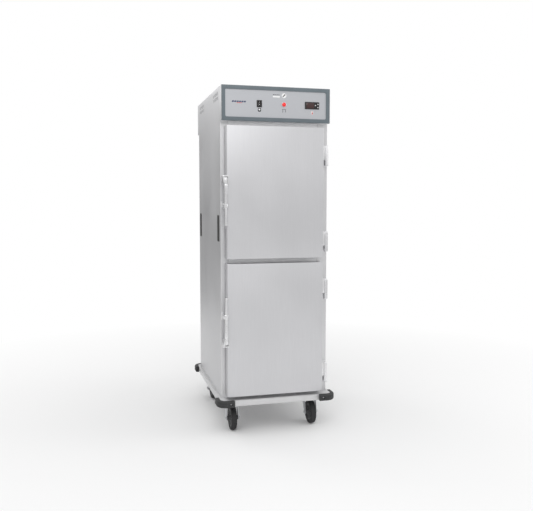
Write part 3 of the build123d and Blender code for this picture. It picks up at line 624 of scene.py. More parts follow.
bm = bmesh.new()
for side, end in ((1, 1), (1, -1), (-1, 1), (-1, -1)):
    fresh = bmesh.new()
    bumper(fresh)
    bmesh.ops.remove_doubles(fresh, verts=fresh.verts, dist=merge_distance)
    ends = [f for f in fresh.faces if len(f.verts) > 8]
    bevel(fresh, [e for f in ends for e in f.edges], 1.6 * mm, 3)
    bmesh.ops.scale(fresh, vec=(side, end, 1), verts=fresh.verts)
    join(bm, fresh)

holes = bmesh.new()
screws = bmesh.new()
for side in (-1, 1):
    for end in (-1, 1):
        for place, axis in (
            ((side * high.x, end * (high.y - hole_at), middle_z), Vector((side, 0, 0))),
            ((side * (high.x - hole_at), end * high.y, middle_z), Vector((0, end, 0))),
        ):
            seat = Vector(place) - axis * 9 * mm
            rod(holes, seat, Vector(place) + axis * 2 * mm, 6.5 * mm, 0, 24)
            screw(screws, seat, axis, 5.2 * mm, 3.4 * mm)
dress(cut_out("bumper_mouldings", bm, holes), bumper_rubber, "cabinet", ["corner_bumpers"])
settle("bumper_screws", screws, screw_metal, "cabinet")

# %% [markdown]
# ## Side panels
# Each side is one sheet from the platform to the roof, deeper at the header. It is drawn as the outline
# that a laser would cut, eight corners, and thickened to sheet. The slanted slits that air the header are
# long holes with round ends, and the openings for the hand grips are plain windows. All holes are cut
# through with solids, and the cut faces take a near-black finish, partly laser oxide and partly painted
# shade for the inside of the slits. That is why the slits read as dark marks even from a shallow angle.

# %% Side panels
sheet = 1.2 * mm
jamb_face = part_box("front_upper_door_gasket")[1].y + 0.3 * mm
bend = 9 * mm
header_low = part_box("header_cover")[0].z
grip_low, grip_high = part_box("hand_grips")
panel_low, panel_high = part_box("right_side_panel")
slit_width, slit_length = 3.5 * mm, 20 * mm
slit_slant = radians(28)
column_pitch, row_pitch = 17 * mm, 24 * mm
patch_inset, patch_drop = 163 * mm, 42 * mm


def slits(bm, side):
    """Both patches of slits of one side, two rows of nine each."""
    turn = Matrix.Rotation(-slit_slant, 3, "X")
    reach = side * 4 * mm
    for end in (-1, 1):
        for column in range(9):
            for row in range(2):
                y = end * (panel_high.y - patch_inset) + (column - 4) * column_pitch
                z = panel_high.z - patch_drop - (row - 0.5) * row_pitch
                corners = [Vector((-reach, a * slit_width / 2, b * slit_length / 2)) for a, b in SQUARE]
                points = [turn @ corner + Vector((side * panel_high.x, y, z)) for corner in corners]
                outline_plate(bm, points, (2 * reach, 0, 0), [slit_width * 0.49] * 4)


for side, name in ((-1, "left"), (1, "right")):
    front, deep = -jamb_face - bend, panel_high.y
    outline = [(front, panel_low.z), (front, header_low), (deep, header_low), (deep, panel_high.z)]
    outline += [(-y, z) for y, z in reversed(outline)]
    inside = side * (panel_high.x - sheet)
    bm = bmesh.new()
    outline_plate(bm, [(inside, y, z) for y, z in outline], (side * sheet, 0, 0), [0] * 8, rim=0.35 * mm)
    holes = bmesh.new()
    slits(holes, side)
    for end in (-1, 1):
        near, far = end * (grip_high.y - 44 * mm), end * (grip_high.y - 6 * mm)
        round_block(holes, (side * (panel_high.x + 4 * mm), near, grip_low.z + 6 * mm),
                    (side * (panel_high.x - 4 * mm), far, grip_high.z - 6 * mm))
    panel = cut_out(f"{name}_side_sheet", bm, holes, side_steel, oxide_and_slit_shade_steel)
    dress(panel, side_steel, "cabinet", [f"{name}_side_panel"])

# %% [markdown]
# ## Hand grips
# The grips are moulded cups pushed into windows in the sides. Fingers hook over the rim, so the rim is
# rounded, and its edges are paler, partly polish and partly painted highlight, while the bottom of the cup
# keeps its mould grain and three stiffening ribs. The cup is a rounded block whose outer face is inset and
# pushed back in.

# %% Hand grips
cup_depth, cup_width = 28 * mm, 50 * mm
bm = bmesh.new()
for side in (-1, 1):
    outside, inside = side * grip_high.x, side * (grip_high.x - cup_depth)

    def at_rim(edge):
        """True if an edge lies on the cup's outer face and turns a corner."""
        if len(edge.link_faces) != 2 or edge.calc_face_angle(0) <= 1.0:
            return False
        return all(abs(v.co.x - outside) < 0.1 * mm for v in edge.verts)

    for end in (-1, 1):
        y0, y1 = end * (grip_high.y - cup_width), end * grip_high.y
        fresh = bmesh.new()
        round_block(fresh, (outside, y0, grip_low.z), (outside - side * 2 * mm, y1, grip_high.z), 6 * mm, 5,
                    only=lambda e: along(e, 0))
        face = max(fresh.faces, key=lambda f: f.calc_center_median().x * side)
        bmesh.ops.inset_region(fresh, faces=[face], thickness=6.5 * mm, use_even_offset=True)
        push_face(fresh, face, (-side * 24 * mm, 0, 0))
        bevel(fresh, [e for e in fresh.edges if at_rim(e)], 0.9 * mm, 3)
        for rib in range(3):
            z = grip_low.z + (rib + 1) / 4 * (grip_high.z - grip_low.z)
            round_block(fresh, (inside + side * 2.2 * mm, y0 + end * 7 * mm, z - 1.5 * mm),
                        (inside + side * 6 * mm, y1 - end * 7 * mm, z + 1.5 * mm), 0.6 * mm, 2)
        join(bm, fresh)
settle("hand_grip_cups", bm, grip_plastic, "cabinet", ["hand_grips"])

# %% [markdown]
# ## Door frame
# The frame round each pair of openings is folded sheet: two jambs that wrap round the cabinet's corners,
# and a sill, a middle rail and a head rail between them. They butt at hairline seams. A jamb is an outline
# drawn in plan, whose outer corner has the larger radius of a bend. The rails are blocks with small rounded
# edges, since their open backs are buried in insulation.

# %% Door frame
frame_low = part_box("door_frames")[0]
opening_x = (-248 * mm, 232 * mm)
frame_back = 20 * mm
seam = 0.35 * mm
overlap = 18 * mm
upper_low, upper_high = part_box("front_upper_door_skin")
lower_low, lower_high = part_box("front_lower_door_skin")
rail_z = [
    (frame_low.z, lower_low.z + overlap),
    (lower_high.z - overlap, upper_low.z + overlap),
    (upper_high.z - overlap, header_low),
]
half = panel_high.x
inner_back = jamb_face + frame_back
bm = bmesh.new()
for outer, inner in ((-half, opening_x[0]), (half, opening_x[1])):
    lip = outer + (sheet if outer < 0 else -sheet)
    wrap = [(outer, jamb_face), (inner, jamb_face), (inner, inner_back), (lip, inner_back),
            (lip, jamb_face + bend), (outer, jamb_face + bend)]
    outline_plate(bm, [(x, y, frame_low.z) for x, y in wrap], (0, 0, header_low - frame_low.z),
                  [2.4 * mm, 1.2 * mm, 0, 0, 0, 0.4 * mm])
settle("front_jambs", bm, frame_steel, "cabinet", ["door_frames"], to_rear=True)
# The rails and the header's soffit sheet wear the paler steel, painted light against the shade between the
# doors.
bm = bmesh.new()
for z0, z1 in rail_z:
    round_block(bm, (opening_x[0] + seam, jamb_face, z0), (opening_x[1] - seam, inner_back, z1), 0.9 * mm, 3)
round_block(bm, (-half + sheet, frame_low.y, header_low), (half - sheet, inner_back, header_low + sheet),
            0.3 * mm, 2)
settle("front_rails", bm, rail_steel, "cabinet", to_rear=True)
rails_in_mm = [(round(a / mm), round(b / mm)) for a, b in rail_z]
print("jamb face at y", round(jamb_face / mm, 1), "mm; rails", rails_in_mm)

# %% [markdown]
# ## Header
# The roof and the rear of the header are folded sheets that drop between the sides. Their long edges have
# the small radius of a press brake. The rear sheet has a hole for the cord gland and two rows of screws,
# because it comes off when the fan motor is serviced.

# %% Header sheets
low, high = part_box("header_cover")
gland_low, gland_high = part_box("cord_gland")
gland_centre = Vector(((gland_low.x + gland_high.x) / 2, high.y, (gland_low.z + gland_high.z) / 2))
bm = bmesh.new()
round_block(bm, (low.x, low.y, high.z - sheet), (high.x, high.y - 1.6 * mm, high.z), 0.5 * mm, 2)
round_block(bm, (low.x, high.y - 12 * mm, low.z), (high.x, high.y - sheet, low.z + sheet), 0.3 * mm, 2)
settle("header_roof", bm, roof_steel, "cabinet", ["header_cover"])
bm = bmesh.new()
round_block(bm, (low.x, high.y - sheet, low.z), high, 1.1 * mm, 4, only=lambda e: e.calc_length() > 0.2)
hole = bmesh.new()
rod(hole, gland_centre - Vector((0, 5 * mm, 0)), gland_centre + Vector((0, 5 * mm, 0)), 10.2 * mm)
dress(cut_out("header_rear_sheet", bm, hole), roof_steel, "cabinet")
bm = bmesh.new()
for row in (low.z + 14 * mm, high.z - 16 * mm):
    for column in range(4):
        x = low.x + 24 * mm + column * (high.x - low.x - 48 * mm) / 3
        screw(bm, (x, high.y - 2.2 * mm, row), (0, 1, 0), 4.6 * mm, 2.2 * mm)
settle("header_screws", bm, screw_metal, "cabinet")

# %% [markdown]
# ## Cord gland
# The supply cord enters through a moulded gland: a hexagonal nut against the sheet and a dome nut in front
# of it. A profile that is spun in six steps is a hexagon by itself, and the dome nut has twelve grip ribs,
# which are small rounded blocks set round it. There is no cord, only its way in.

# %% Cord gland
gland_place = (gland_centre.x, high.y, gland_centre.z)
thread = in_mm((5, -16), (10, -16), (10, 0), (13.6, 0))
hexagon = in_mm((9, 0), (13.2, 0), (14, 0.8), (14, 5.2), (13.2, 6), (9, 6))
dome = in_mm((11.2, 6), (11.9, 7), (11.9, 17)) + arc((7.9 * mm, 20 * mm), 4 * mm, 0, 75, 6)
dome += in_mm((7.2, 24), (5.6, 24), (5, 23), (5, -16))
bm = bmesh.new()
for profile, steps in ((thread, 32), (hexagon, 6), (dome, 48)):
    turned(bm, profile, gland_place, (0, 1, 0), steps)
rib = ((10.9 * mm, 8 * mm, -1.1 * mm), (12 * mm, 18 * mm, 1.1 * mm), 0.4 * mm)
block_ring(bm, 12, "Y", gland_place, [rib])
settle("cord_gland_nut", bm, grip_plastic, "cabinet", ["cord_gland"])

# %% [markdown]
# ## Control panel
# A powder-coated frame holds the fascia film. The frame is an upright plate with rounded corners and a
# rounded window, and its front edges, inside and out, have a soft radius. It is cut from one plate with a
# rounded window so that both radii are true arcs.

# %% Panel frame and fascia
low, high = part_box("control_bezel")
border = 19.5 * mm
lip = 4 * mm
bm = bmesh.new()
front_plate(bm, bar(low.x, high.x, low.z, high.z), high.y, low.y - high.y, 4 * mm, rim=1.3 * mm)
window = bmesh.new()
inner = bar(low.x + border, high.x - border, low.z + border, high.z - border)
front_plate(window, inner, low.y - 5 * mm, 25 * mm, 8 * mm)
round_block(window, (low.x + 3 * mm, low.y + lip, low.z + 3 * mm),
            (high.x - 3 * mm, high.y + 5 * mm, high.z - 3 * mm))
frame_piece = cut_out("panel_frame", bm, window)
softened = frame_piece.modifiers.new("soft_edges", "BEVEL")
softened.width = 0.8 * mm
softened.segments = 2
softened.limit_method = "ANGLE"
softened.angle_limit = radians(50)
dress(frame_piece, bezel_paint, "cabinet", ["control_bezel"])

fascia_low, fascia_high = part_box("control_fascia")
fascia_face = fascia_low.y
switch_low, switch_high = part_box("switch_housing")
case_low, case_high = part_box("thermostat_case")
lamp_low, lamp_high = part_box("pilot_lamp")
controls_z = (low.z + high.z) / 2
lamp_centre = Vector(((lamp_low.x + lamp_high.x) / 2, fascia_face, controls_z))
bm = bmesh.new()
round_block(bm, fascia_low, fascia_high)
holes = bmesh.new()
for a, b, edge in ((switch_low, switch_high, 1.8 * mm), (case_low, case_high, 3.3 * mm)):
    round_block(holes, (a.x + edge, fascia_face - 3 * mm, a.z + edge),
                (b.x - edge, fascia_face + 5 * mm, b.z - edge))
rod(holes, lamp_centre - Vector((0, 3 * mm, 0)), lamp_centre + Vector((0, 5 * mm, 0)), 11.2 * mm, 0, 40)
dress(cut_out("fascia_plate", bm, holes), fascia_skin, "cabinet", ["control_fascia"])

# %% [markdown]
# ## Switch, lamp and thermostat
# Small parts carry the eye, so they get real detail. The switch's housing is a rounded bezel with a pocket,
# and its rocker has two hollow faces that meet at a ridge, with a bar and a ring for on and off. The lamp
# is a chromed ring round a lens with pressed rings. The thermostat has a sunk window and three domed keys.

# %% Switch
switch_x = (switch_low.x + switch_high.x) / 2
bm = bmesh.new()
front_plate(bm, bar(switch_low.x, switch_high.x, switch_low.z, switch_high.z), fascia_face, -2 * mm, 2 * mm,
            rim=0.7 * mm)
round_block(bm, (switch_low.x + 2 * mm, fascia_face - 0.5 * mm, switch_low.z + 2 * mm),
            (switch_high.x - 2 * mm, switch_high.y, switch_high.z - 2 * mm), 0.6 * mm, 2)
pocket = bmesh.new()
round_block(pocket, (switch_x - 7.5 * mm, fascia_face - 4 * mm, controls_z - 14.1 * mm),
            (switch_x + 7.5 * mm, fascia_face + 11 * mm, controls_z + 14.1 * mm), 0.8 * mm, 2,
            only=lambda e: along(e, 1))
dress(cut_out("switch_bezel", bm, pocket), grip_plastic, "cabinet", ["switch_housing"])

half_x, half_z = 6.8 * mm, 12.8 * mm
front, ridge, back = -9 * mm, -6.6 * mm, 3 * mm
hollow_y = front + 1.5 * mm
side_view = [(front, -half_z), (hollow_y, -half_z * 0.5), (ridge, 0), (hollow_y, half_z * 0.5),
             (front, half_z), (back, half_z), (back, -half_z)]
pivot = Vector((switch_x, fascia_face + 3 * mm, controls_z))
tilted = Matrix.Translation(pivot) @ Matrix.Rotation(radians(-8), 4, "X")
bm = bmesh.new()
outline_plate(bm, [(-half_x, y, z) for y, z in side_view], (2 * half_x, 0, 0),
              [0.6 * mm, 0, 0.5 * mm, 0, 0.6 * mm, 0.4 * mm, 0.4 * mm])
flank_edges = [e for e in bm.edges if abs(e.verts[0].co.x) > half_x * 0.99
               and abs(e.verts[1].co.x - e.verts[0].co.x) < 1e-6]
bevel(bm, flank_edges, 0.4 * mm, 2)
rod(bm, (-half_x - 0.5 * mm, 0, 0), (half_x + 0.5 * mm, 0, 0), 1.5 * mm, 0.2 * mm, 16)
bmesh.ops.transform(bm, matrix=tilted, verts=bm.verts)
settle("switch_rocker_cap", bm, gloss_plastic, "rocker", ["switch_rocker"])
marks = bmesh.new()
for sign in (1, -1):
    fresh = bmesh.new()
    if sign > 0:
        round_block(fresh, (-0.6 * mm, -0.15 * mm, -2.8 * mm), (0.6 * mm, 0, 2.8 * mm))
    else:
        turned(fresh, in_mm((1.7, 0), (1.7, 0.15), (2.6, 0.15), (2.6, 0)), (0, 0, 0), (0, -1, 0), 24)
    place = Matrix.Translation((0, front + 1.35 * mm, sign * half_z * 0.58))
    lean = Matrix.Rotation(sign * 0.09, 4, "X")
    bmesh.ops.transform(fresh, matrix=tilted @ (place @ lean), verts=fresh.verts)
    join(marks, fresh)
settle("switch_rocker_marks", marks, white_ink, "rocker")

# %% Pilot lamp
ring = in_mm((11, 0.3), (12.2, 0.3)) + arc((11.4 * mm, -1.4 * mm), 1.0 * mm, 0, -150, 6) + [(10.4 * mm, 0)]
bm = bmesh.new()
turned(bm, [(r, -t) for r, t in ring], lamp_centre, (0, -1, 0), 48)
settle("lamp_ring", bm, fitting_metal, "cabinet")
lens_top = 7 * mm
lens = [(0, lens_top)]
for step in range(1, 5):
    r = step * 2.0 * mm
    z = lens_top - 0.028 / mm * r * r
    lens += [(r - 0.5 * mm, min(z + 0.25 * mm, lens_top)), (r, z - 0.1 * mm)]
lens += arc((8.4 * mm, 3.0 * mm), 2.0 * mm, 70, 0, 5) + in_mm((10.4, 0), (10.8, -26), (0, -26))
bm = bmesh.new()
turned(bm, lens, lamp_centre, (0, -1, 0), 48)
settle("lamp_lens", bm, lens_plastic, "cabinet", ["pilot_lamp"])

# %% Thermostat
front = case_low.y
case_x = (case_low.x + case_high.x) / 2
window_x = (case_x - 31 * mm, case_x + 11 * mm)
bm = bmesh.new()
front_plate(bm, bar(case_low.x, case_high.x, case_low.z, case_high.z), fascia_face, front - fascia_face,
            2.2 * mm, rim=0.9 * mm)
round_block(bm, (case_low.x + 3.5 * mm, fascia_face - 0.5 * mm, case_low.z + 4 * mm),
            (case_high.x - 3.5 * mm, case_high.y, case_high.z - 4 * mm), 0.6 * mm, 2)
recess = bmesh.new()
front_plate(recess, bar(*window_x, controls_z - 14 * mm, controls_z + 14 * mm), front - 2 * mm, 2.6 * mm,
            1.5 * mm)
key_boxes = [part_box(f"thermostat_key_{number}") for number in (1, 2, 3)]
key_centres = [Vector(((a.x + b.x) / 2, front, (a.z + b.z) / 2)) for a, b in key_boxes]
for centre in key_centres:
    rod(recess, centre - Vector((0, 2 * mm, 0)), centre + Vector((0, 2.7 * mm, 0)), 3.3 * mm, 0, 24)
dress(cut_out("thermostat_housing", bm, recess), gloss_plastic, "cabinet", ["thermostat_case"])
bm = bmesh.new()
round_block(bm, (window_x[0] + 0.1 * mm, front + 0.25 * mm, controls_z - 13.9 * mm),
            (window_x[1] - 0.1 * mm, front + 0.62 * mm, controls_z + 13.9 * mm), 0.15 * mm, 2)
settle("thermostat_window", bm, window_plastic, "cabinet")
for number, ((a, b), centre) in enumerate(zip(key_boxes, key_centres), start=1):
    bm = bmesh.new()
    depth = b.y - a.y
    cap = [(0, depth)] + arc((0, depth - 9 * mm), 9 * mm, 90, 76, 4)
    cap += arc((2.5 * mm, depth - 1.0 * mm), 0.5 * mm, 60, 0, 3) + [(3 * mm, 0), (0, 0)]
    turned(bm, cap, (centre.x, b.y, centre.z), (0, -1, 0), 28)
    settle(f"key_cap_{number}", bm, key_plastic, f"key_{number}", [f"thermostat_key_{number}"])

# %% [markdown]
# ## Printing on the fascia
# The fascia carries small printed marks: a plain badge of slanted bars over a short stroke at the left, a
# mark under the switch, a heating mark under the lamp, a thermometer under the thermostat, and a blank
# label with a round seal above the lamp. They are generic shapes with no lettering. Each is a film of ink a
# tenth of a millimetre thick, so it is geometry that survives an export. A second ink lies on top of the
# first.

# %% Fascia printing
ink_lift, ink_film = 0.01 * mm, 0.12 * mm
second_lift, second_film = 0.14 * mm, 0.06 * mm


def printed(name, finish, shapes, lift=ink_lift, film=ink_film):
    """Ink shapes on the fascia. Each is points of (x, z) in metres with the radius of its corners."""
    bm = bmesh.new()
    for points, radius in shapes:
        front_plate(bm, points, fascia_face - lift, -film, radius)
    settle(name, bm, finish, "cabinet")


def disc(x, z, radius, count=20):
    """Corners of a round mark."""
    return [(x + radius * cos(tau * i / count), z + radius * sin(tau * i / count)) for i in range(count)]


badge_x, badge_z = -235 * mm, controls_z + 4 * mm
badge_pitch, badge_bar, badge_slant = 12.4, 9.6, 3 * mm
starts = [i * badge_pitch for i in range(6)]
printed("badge_bars", navy_ink, [
    (bar(badge_x + s * mm, badge_x + (s + badge_bar) * mm, badge_z, badge_z + 8 * mm, badge_slant), 0.8 * mm)
    for s in starts])
stroke = bar(badge_x + 24 * mm, badge_x + 52 * mm, badge_z - 4.0 * mm, badge_z - 1.6 * mm, badge_slant)
printed("badge_stripe", red_ink, [(stroke, 0.6 * mm)])

mark_x, mark_z = switch_x + 0.6 * mm, controls_z - 31 * mm
tile = bar(mark_x - 8.4 * mm, mark_x + 8.4 * mm, mark_z - 9.5 * mm, mark_z + 9.5 * mm)
printed("switch_mark", dark_ink, [(tile, 5 * mm)])
bm = bmesh.new()
turned(bm, in_mm((0, 0.14), (0, 0.18), (4.4, 0.18), (4.4, 0.14)), (mark_x, fascia_face, mark_z + 2.0 * mm),
       (0, -1, 0), 28)
settle("switch_mark_centre", bm, white_ink, "cabinet")

heat_z = controls_z - 32 * mm
waves = []
for i in (-1, 1):
    x = lamp_centre.x + i * 7.4 * mm
    waves.append(bar(x - 1.1 * mm, x + 1.1 * mm, heat_z - 8 * mm, heat_z - 1 * mm, 1.6 * mm))
    waves.append(bar(x + 0.5 * mm, x + 2.7 * mm, heat_z - 1.6 * mm, heat_z + 6 * mm, -1.6 * mm))
waves.append(bar(lamp_centre.x - 11 * mm, lamp_centre.x + 11 * mm, heat_z + 6.6 * mm, heat_z + 8.4 * mm))
printed("heating_mark", dark_ink, [(wave, 0.5 * mm) for wave in waves])

thermo_x, thermo_z = case_x + 1.6 * mm, controls_z - 38 * mm
field = bar(thermo_x - 5 * mm, thermo_x + 5 * mm, thermo_z - 8 * mm, thermo_z + 9 * mm)
printed("thermometer_field", white_ink, [(field, 2 * mm)])
bulb = disc(thermo_x, thermo_z - 3.6 * mm, 3.6 * mm)
stem = bar(thermo_x - 1.9 * mm, thermo_x + 1.9 * mm, thermo_z - 4 * mm, thermo_z + 8 * mm)
printed("thermometer_mark", red_ink, [(bulb, 0.0), (stem, 1.6 * mm)], second_lift, second_film)

label = bar(-19 * mm, 18 * mm, controls_z + 35 * mm, controls_z + 43 * mm)
printed("blank_label", white_ink, [(label, 1.2 * mm)])
line_z = (controls_z + 47 * mm, controls_z + 50 * mm)
starts = [-19 + 9.5 * i for i in range(4)]
ends = [-12 + 9.5 * i for i in range(4)]
printed("label_lines", dark_ink, [(bar(s * mm, e * mm, *line_z), 0.4 * mm) for s, e in zip(starts, ends)])
seal = Vector((40.4 * mm, 0, controls_z + 45.5 * mm))
printed("round_seal", white_ink, [(disc(seal.x, seal.z, 12.4 * mm, 36), 0.0)])
half_mark = 4.6 * mm
leaf = ((-half_mark, -3.4 * mm), (half_mark * 0.4, -3.4 * mm), (half_mark, 4.4 * mm),
        (-half_mark * 0.1, 4.4 * mm))
bm = bmesh.new()
for shift in (-3.4 * mm, 3.4 * mm):
    centre = seal + Vector((shift, 0, shift * 0.9))
    points = [centre + Vector((a, fascia_face - second_lift, b)) for a, b in leaf]
    outline_plate(bm, points, (0, -second_film, 0), [0.5 * mm] * 4)
settle("seal_mark", bm, dark_ink, "cabinet")

# %% [markdown]
# ## Doors
# A door is two pans with foam between them. The outer pan is folded from one sheet: its face has soft edges
# where the sheet turns back, and the turned edge is what a person sees from the side as a narrow band. The
# inner pan has a stepped panel, screws round its rim and a magnetic gasket. All four doors are the same
# folded work, so a loop makes the two front ones, and a half turn about the vertical gives the rear ones.

# %% Doors
rim_sheet = 1.0 * mm
liner_steps = in_mm((24, 0), (7, -7), (3, -1.5), (2, 0))


def mitred_ring(bm, low, high, section):
    """A closed ring round a rectangle. The section is points of (distance inwards, y)."""
    corners = [(low.x, low.z, 1, 1), (high.x, low.z, -1, 1), (high.x, high.z, -1, -1), (low.x, high.z, 1, -1)]
    loops = []
    for x, z, way_x, way_z in corners:
        loops.append([bm.verts.new((x + way_x * d, y, z + way_z * d)) for d, y in section])
    for one, two in zip(loops, loops[1:] + loops[:1]):
        for index in range(len(section)):
            after = (index + 1) % len(section)
            bm.faces.new((one[index], one[after], two[after], two[index]))


for tag in ("front_upper", "front_lower"):
    body = f"{tag}_door"
    skin, liner, gasket = f"{tag}_door_skin", f"{tag}_door_liner", f"{tag}_door_gasket"
    low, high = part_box(skin)
    face_y = low.y
    bm = bmesh.new()
    round_block(bm, low, high, 2.2 * mm, 5,
                only=lambda e: along(e, 1) or max(v.co.y for v in e.verts) < face_y + mm)
    hollow = bmesh.new()
    round_block(hollow, (low.x + sheet, low.y + sheet, low.z + sheet),
                (high.x - sheet, high.y + 5 * mm, high.z - sheet))
    dress(cut_out(f"{tag}_door_pan", bm, hollow), door_steel, body, [skin], to_rear=True)

    low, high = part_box(liner)
    bm = bmesh.new()
    round_block(bm, (low.x + 0.3 * mm, high.y - rim_sheet, low.z + 0.3 * mm),
                (high.x - 0.3 * mm, high.y, high.z - 0.3 * mm), 0.4 * mm, 2)
    face = max(bm.faces, key=lambda f: (round(f.calc_center_median().y, 5), f.calc_area()))
    for inset, push in liner_steps:
        bmesh.ops.inset_region(bm, faces=[face], thickness=inset, depth=push, use_even_offset=True)
    settle(f"{tag}_door_inner_pan", bm, liner_steel, body, [liner], to_rear=True)

    bm = bmesh.new()
    for x in (low.x + 20 * mm, high.x - 20 * mm):
        for step in range(5):
            z = low.z + 40 * mm + step * (high.z - low.z - 80 * mm) / 4
            screw(bm, (x, high.y, z), (0, 1, 0), 3.4 * mm, 1.6 * mm)
    settle(f"{tag}_door_screws", bm, screw_metal, body, to_rear=True)

    low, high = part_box(gasket)
    y0, y1 = low.y, high.y
    section = [(0, y0), (0, y0 + 2.6 * mm), (1.2 * mm, y0 + 3.6 * mm), (0.5 * mm, y0 + 4.8 * mm),
               (1.0 * mm, y1 - 0.6 * mm), (1.9 * mm, y1), (11.1 * mm, y1), (12.0 * mm, y1 - 0.6 * mm),
               (12.5 * mm, y0 + 4.8 * mm), (11.8 * mm, y0 + 3.6 * mm), (13 * mm, y0 + 2.6 * mm),
               (13 * mm, y0)]
    bm = bmesh.new()
    mitred_ring(bm, low, high, section)
    settle(f"{tag}_door_seal", bm, gasket_rubber, body, [gasket], to_rear=True)

# %% [markdown]
# ## Hinges
# Each door hangs on two hinges with cast leaves. The frame's half has the lower knuckle with a domed end
# and an arm that carries it clear of the jamb; the door's half has the upper knuckle and a leaf on the
# door's edge. A narrow neck shows between the knuckles. The casting's edges are rounded because it is
# polished, not folded.

# %% Hinges
pivot_x, pivot_y = 274 * mm, -388 * mm
hinge_height, frame_share = 108 * mm, 32 * mm
leaf_sheet, knuckle_gap = 3 * mm, 0.3 * mm
hinge_insets = {"front_upper": (144 * mm, 83 * mm), "front_lower": (148 * mm, 97 * mm)}
lower_knuckle = [(0, 0)] + arc((5.5 * mm, 4.5 * mm), 4.5 * mm, -90, 0, 8)
lower_knuckle += in_mm((10, 30.2), (9.3, 31), (7.2, 31), (7.2, 31.9), (0, 31.9))
jamb_bm = bmesh.new()
for tag, (from_top, from_bottom) in hinge_insets.items():
    leaves = f"{tag}_hinge_leaves"
    skin_low, skin_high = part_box(f"{tag}_door_skin")
    door_x, face_y, back_y = skin_high.x, skin_low.y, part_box(f"{tag}_door_liner")[1].y
    leaf_bm = bmesh.new()
    screws = bmesh.new()
    for centre in (skin_high.z - from_top, skin_low.z + from_bottom):
        bottom, top = centre - hinge_height / 2, centre + hinge_height / 2
        split = bottom + frame_share
        front_plate(jamb_bm, bar(pivot_x - 13 * mm, pivot_x + 13 * mm, bottom, top), jamb_face, -leaf_sheet,
                    4 * mm, rim=0.7 * mm)
        round_block(jamb_bm, (pivot_x - 4 * mm, pivot_y, bottom + 1.2 * mm),
                    (pivot_x + 4 * mm, jamb_face - 1 * mm, split - 1 * mm), 1.4 * mm, 3)
        turned(jamb_bm, lower_knuckle, (pivot_x, pivot_y, bottom), (0, 0, 1), 40)
        leaf = bar(face_y + 6 * mm, back_y - 6 * mm, split + knuckle_gap, top)
        points = [(door_x, y, z) for y, z in leaf]
        outline_plate(leaf_bm, points, (leaf_sheet, 0, 0), [4 * mm] * 4, rim=0.7 * mm)
        round_block(leaf_bm, (door_x + mm, pivot_y - 4 * mm, split + 1.4 * mm),
                    (pivot_x, pivot_y + 4 * mm, top - 1.4 * mm), 1.4 * mm, 3)
        long = top - split - knuckle_gap
        upper_knuckle = in_mm((0, 0.3), (9.3, 0.3), (10, 1.1)) + [(10 * mm, long - 4.5 * mm)]
        upper_knuckle += arc((5.5 * mm, long - 4.5 * mm), 4.5 * mm, 0, 90, 8)[1:] + [(0, long)]
        turned(leaf_bm, upper_knuckle, (pivot_x, pivot_y, split + knuckle_gap), (0, 0, 1), 40)
        for z in (split + 14 * mm, top - 14 * mm):
            for y in (face_y + 12 * mm, back_y - 12 * mm):
                screw(screws, (door_x + leaf_sheet, y, z), (1, 0, 0), 2.8 * mm, 1.2 * mm)
    settle(f"{tag}_hinge_castings", leaf_bm, fitting_metal, f"{tag}_door", [leaves],
           to_rear=True)
    settle(f"{tag}_hinge_screws", screws, screw_metal, f"{tag}_door", to_rear=True)
settle("front_hinge_jamb_castings", jamb_bm, fitting_metal, "cabinet",
       ["hinge_frame_leaves"], to_rear=True)

# %% [markdown]
# ## Latches
# The latch is a hood on the door's face, held by a web on the door's edge, and a long lever that hangs on a
# pin. The lever has a square head, and below it one turned length: a tube to grip, a knob with two grooves
# and a slim bar. A magnet block behind the knob holds against a steel strike on the jamb. The upper latch
# hangs down and the lower one stands up, so lengths are measured along the latch and a sign turns them into
# heights.

# %% Latches and strikes
lever_x, lever_y = -274.5 * mm, -424 * mm
reach = 427 * mm
pin_at, knob_at = 16 * mm, 150 * mm
head = 8.4 * mm
hood_lift, hood_depth = 0.05 * mm, 22.9 * mm
strike_sheet, strike_half = 3 * mm, 19.5 * mm
strike_x = (-half + 2 * mm, -half + 20 * mm)
grip = in_mm((0, 45), (8.2, 45), (9.8, 48), (9.8, 52), (9.3, 52.6), (9.3, 54), (9.8, 54.6), (9.8, 142),
             (9.0, 144.5))
grip += arc((8.3 * mm, 148.2 * mm), 3.2 * mm, -90, 0, 4)
grip += in_mm((11.5, 152.4), (10.8, 153), (10.8, 154.4), (11.5, 155), (11.5, 157), (10.8, 157.6), (10.8, 159),
              (11.5, 159.6))
grip += arc((8.3 * mm, 162.6 * mm), 3.2 * mm, 0, 90, 4) + in_mm((7.2, 167), (7.2, 250))
grip += arc((3.2 * mm, 250 * mm), 4.0 * mm, 0, 90, 5) + [(0, 254 * mm)]
strikes = bmesh.new()
strike_screws = bmesh.new()
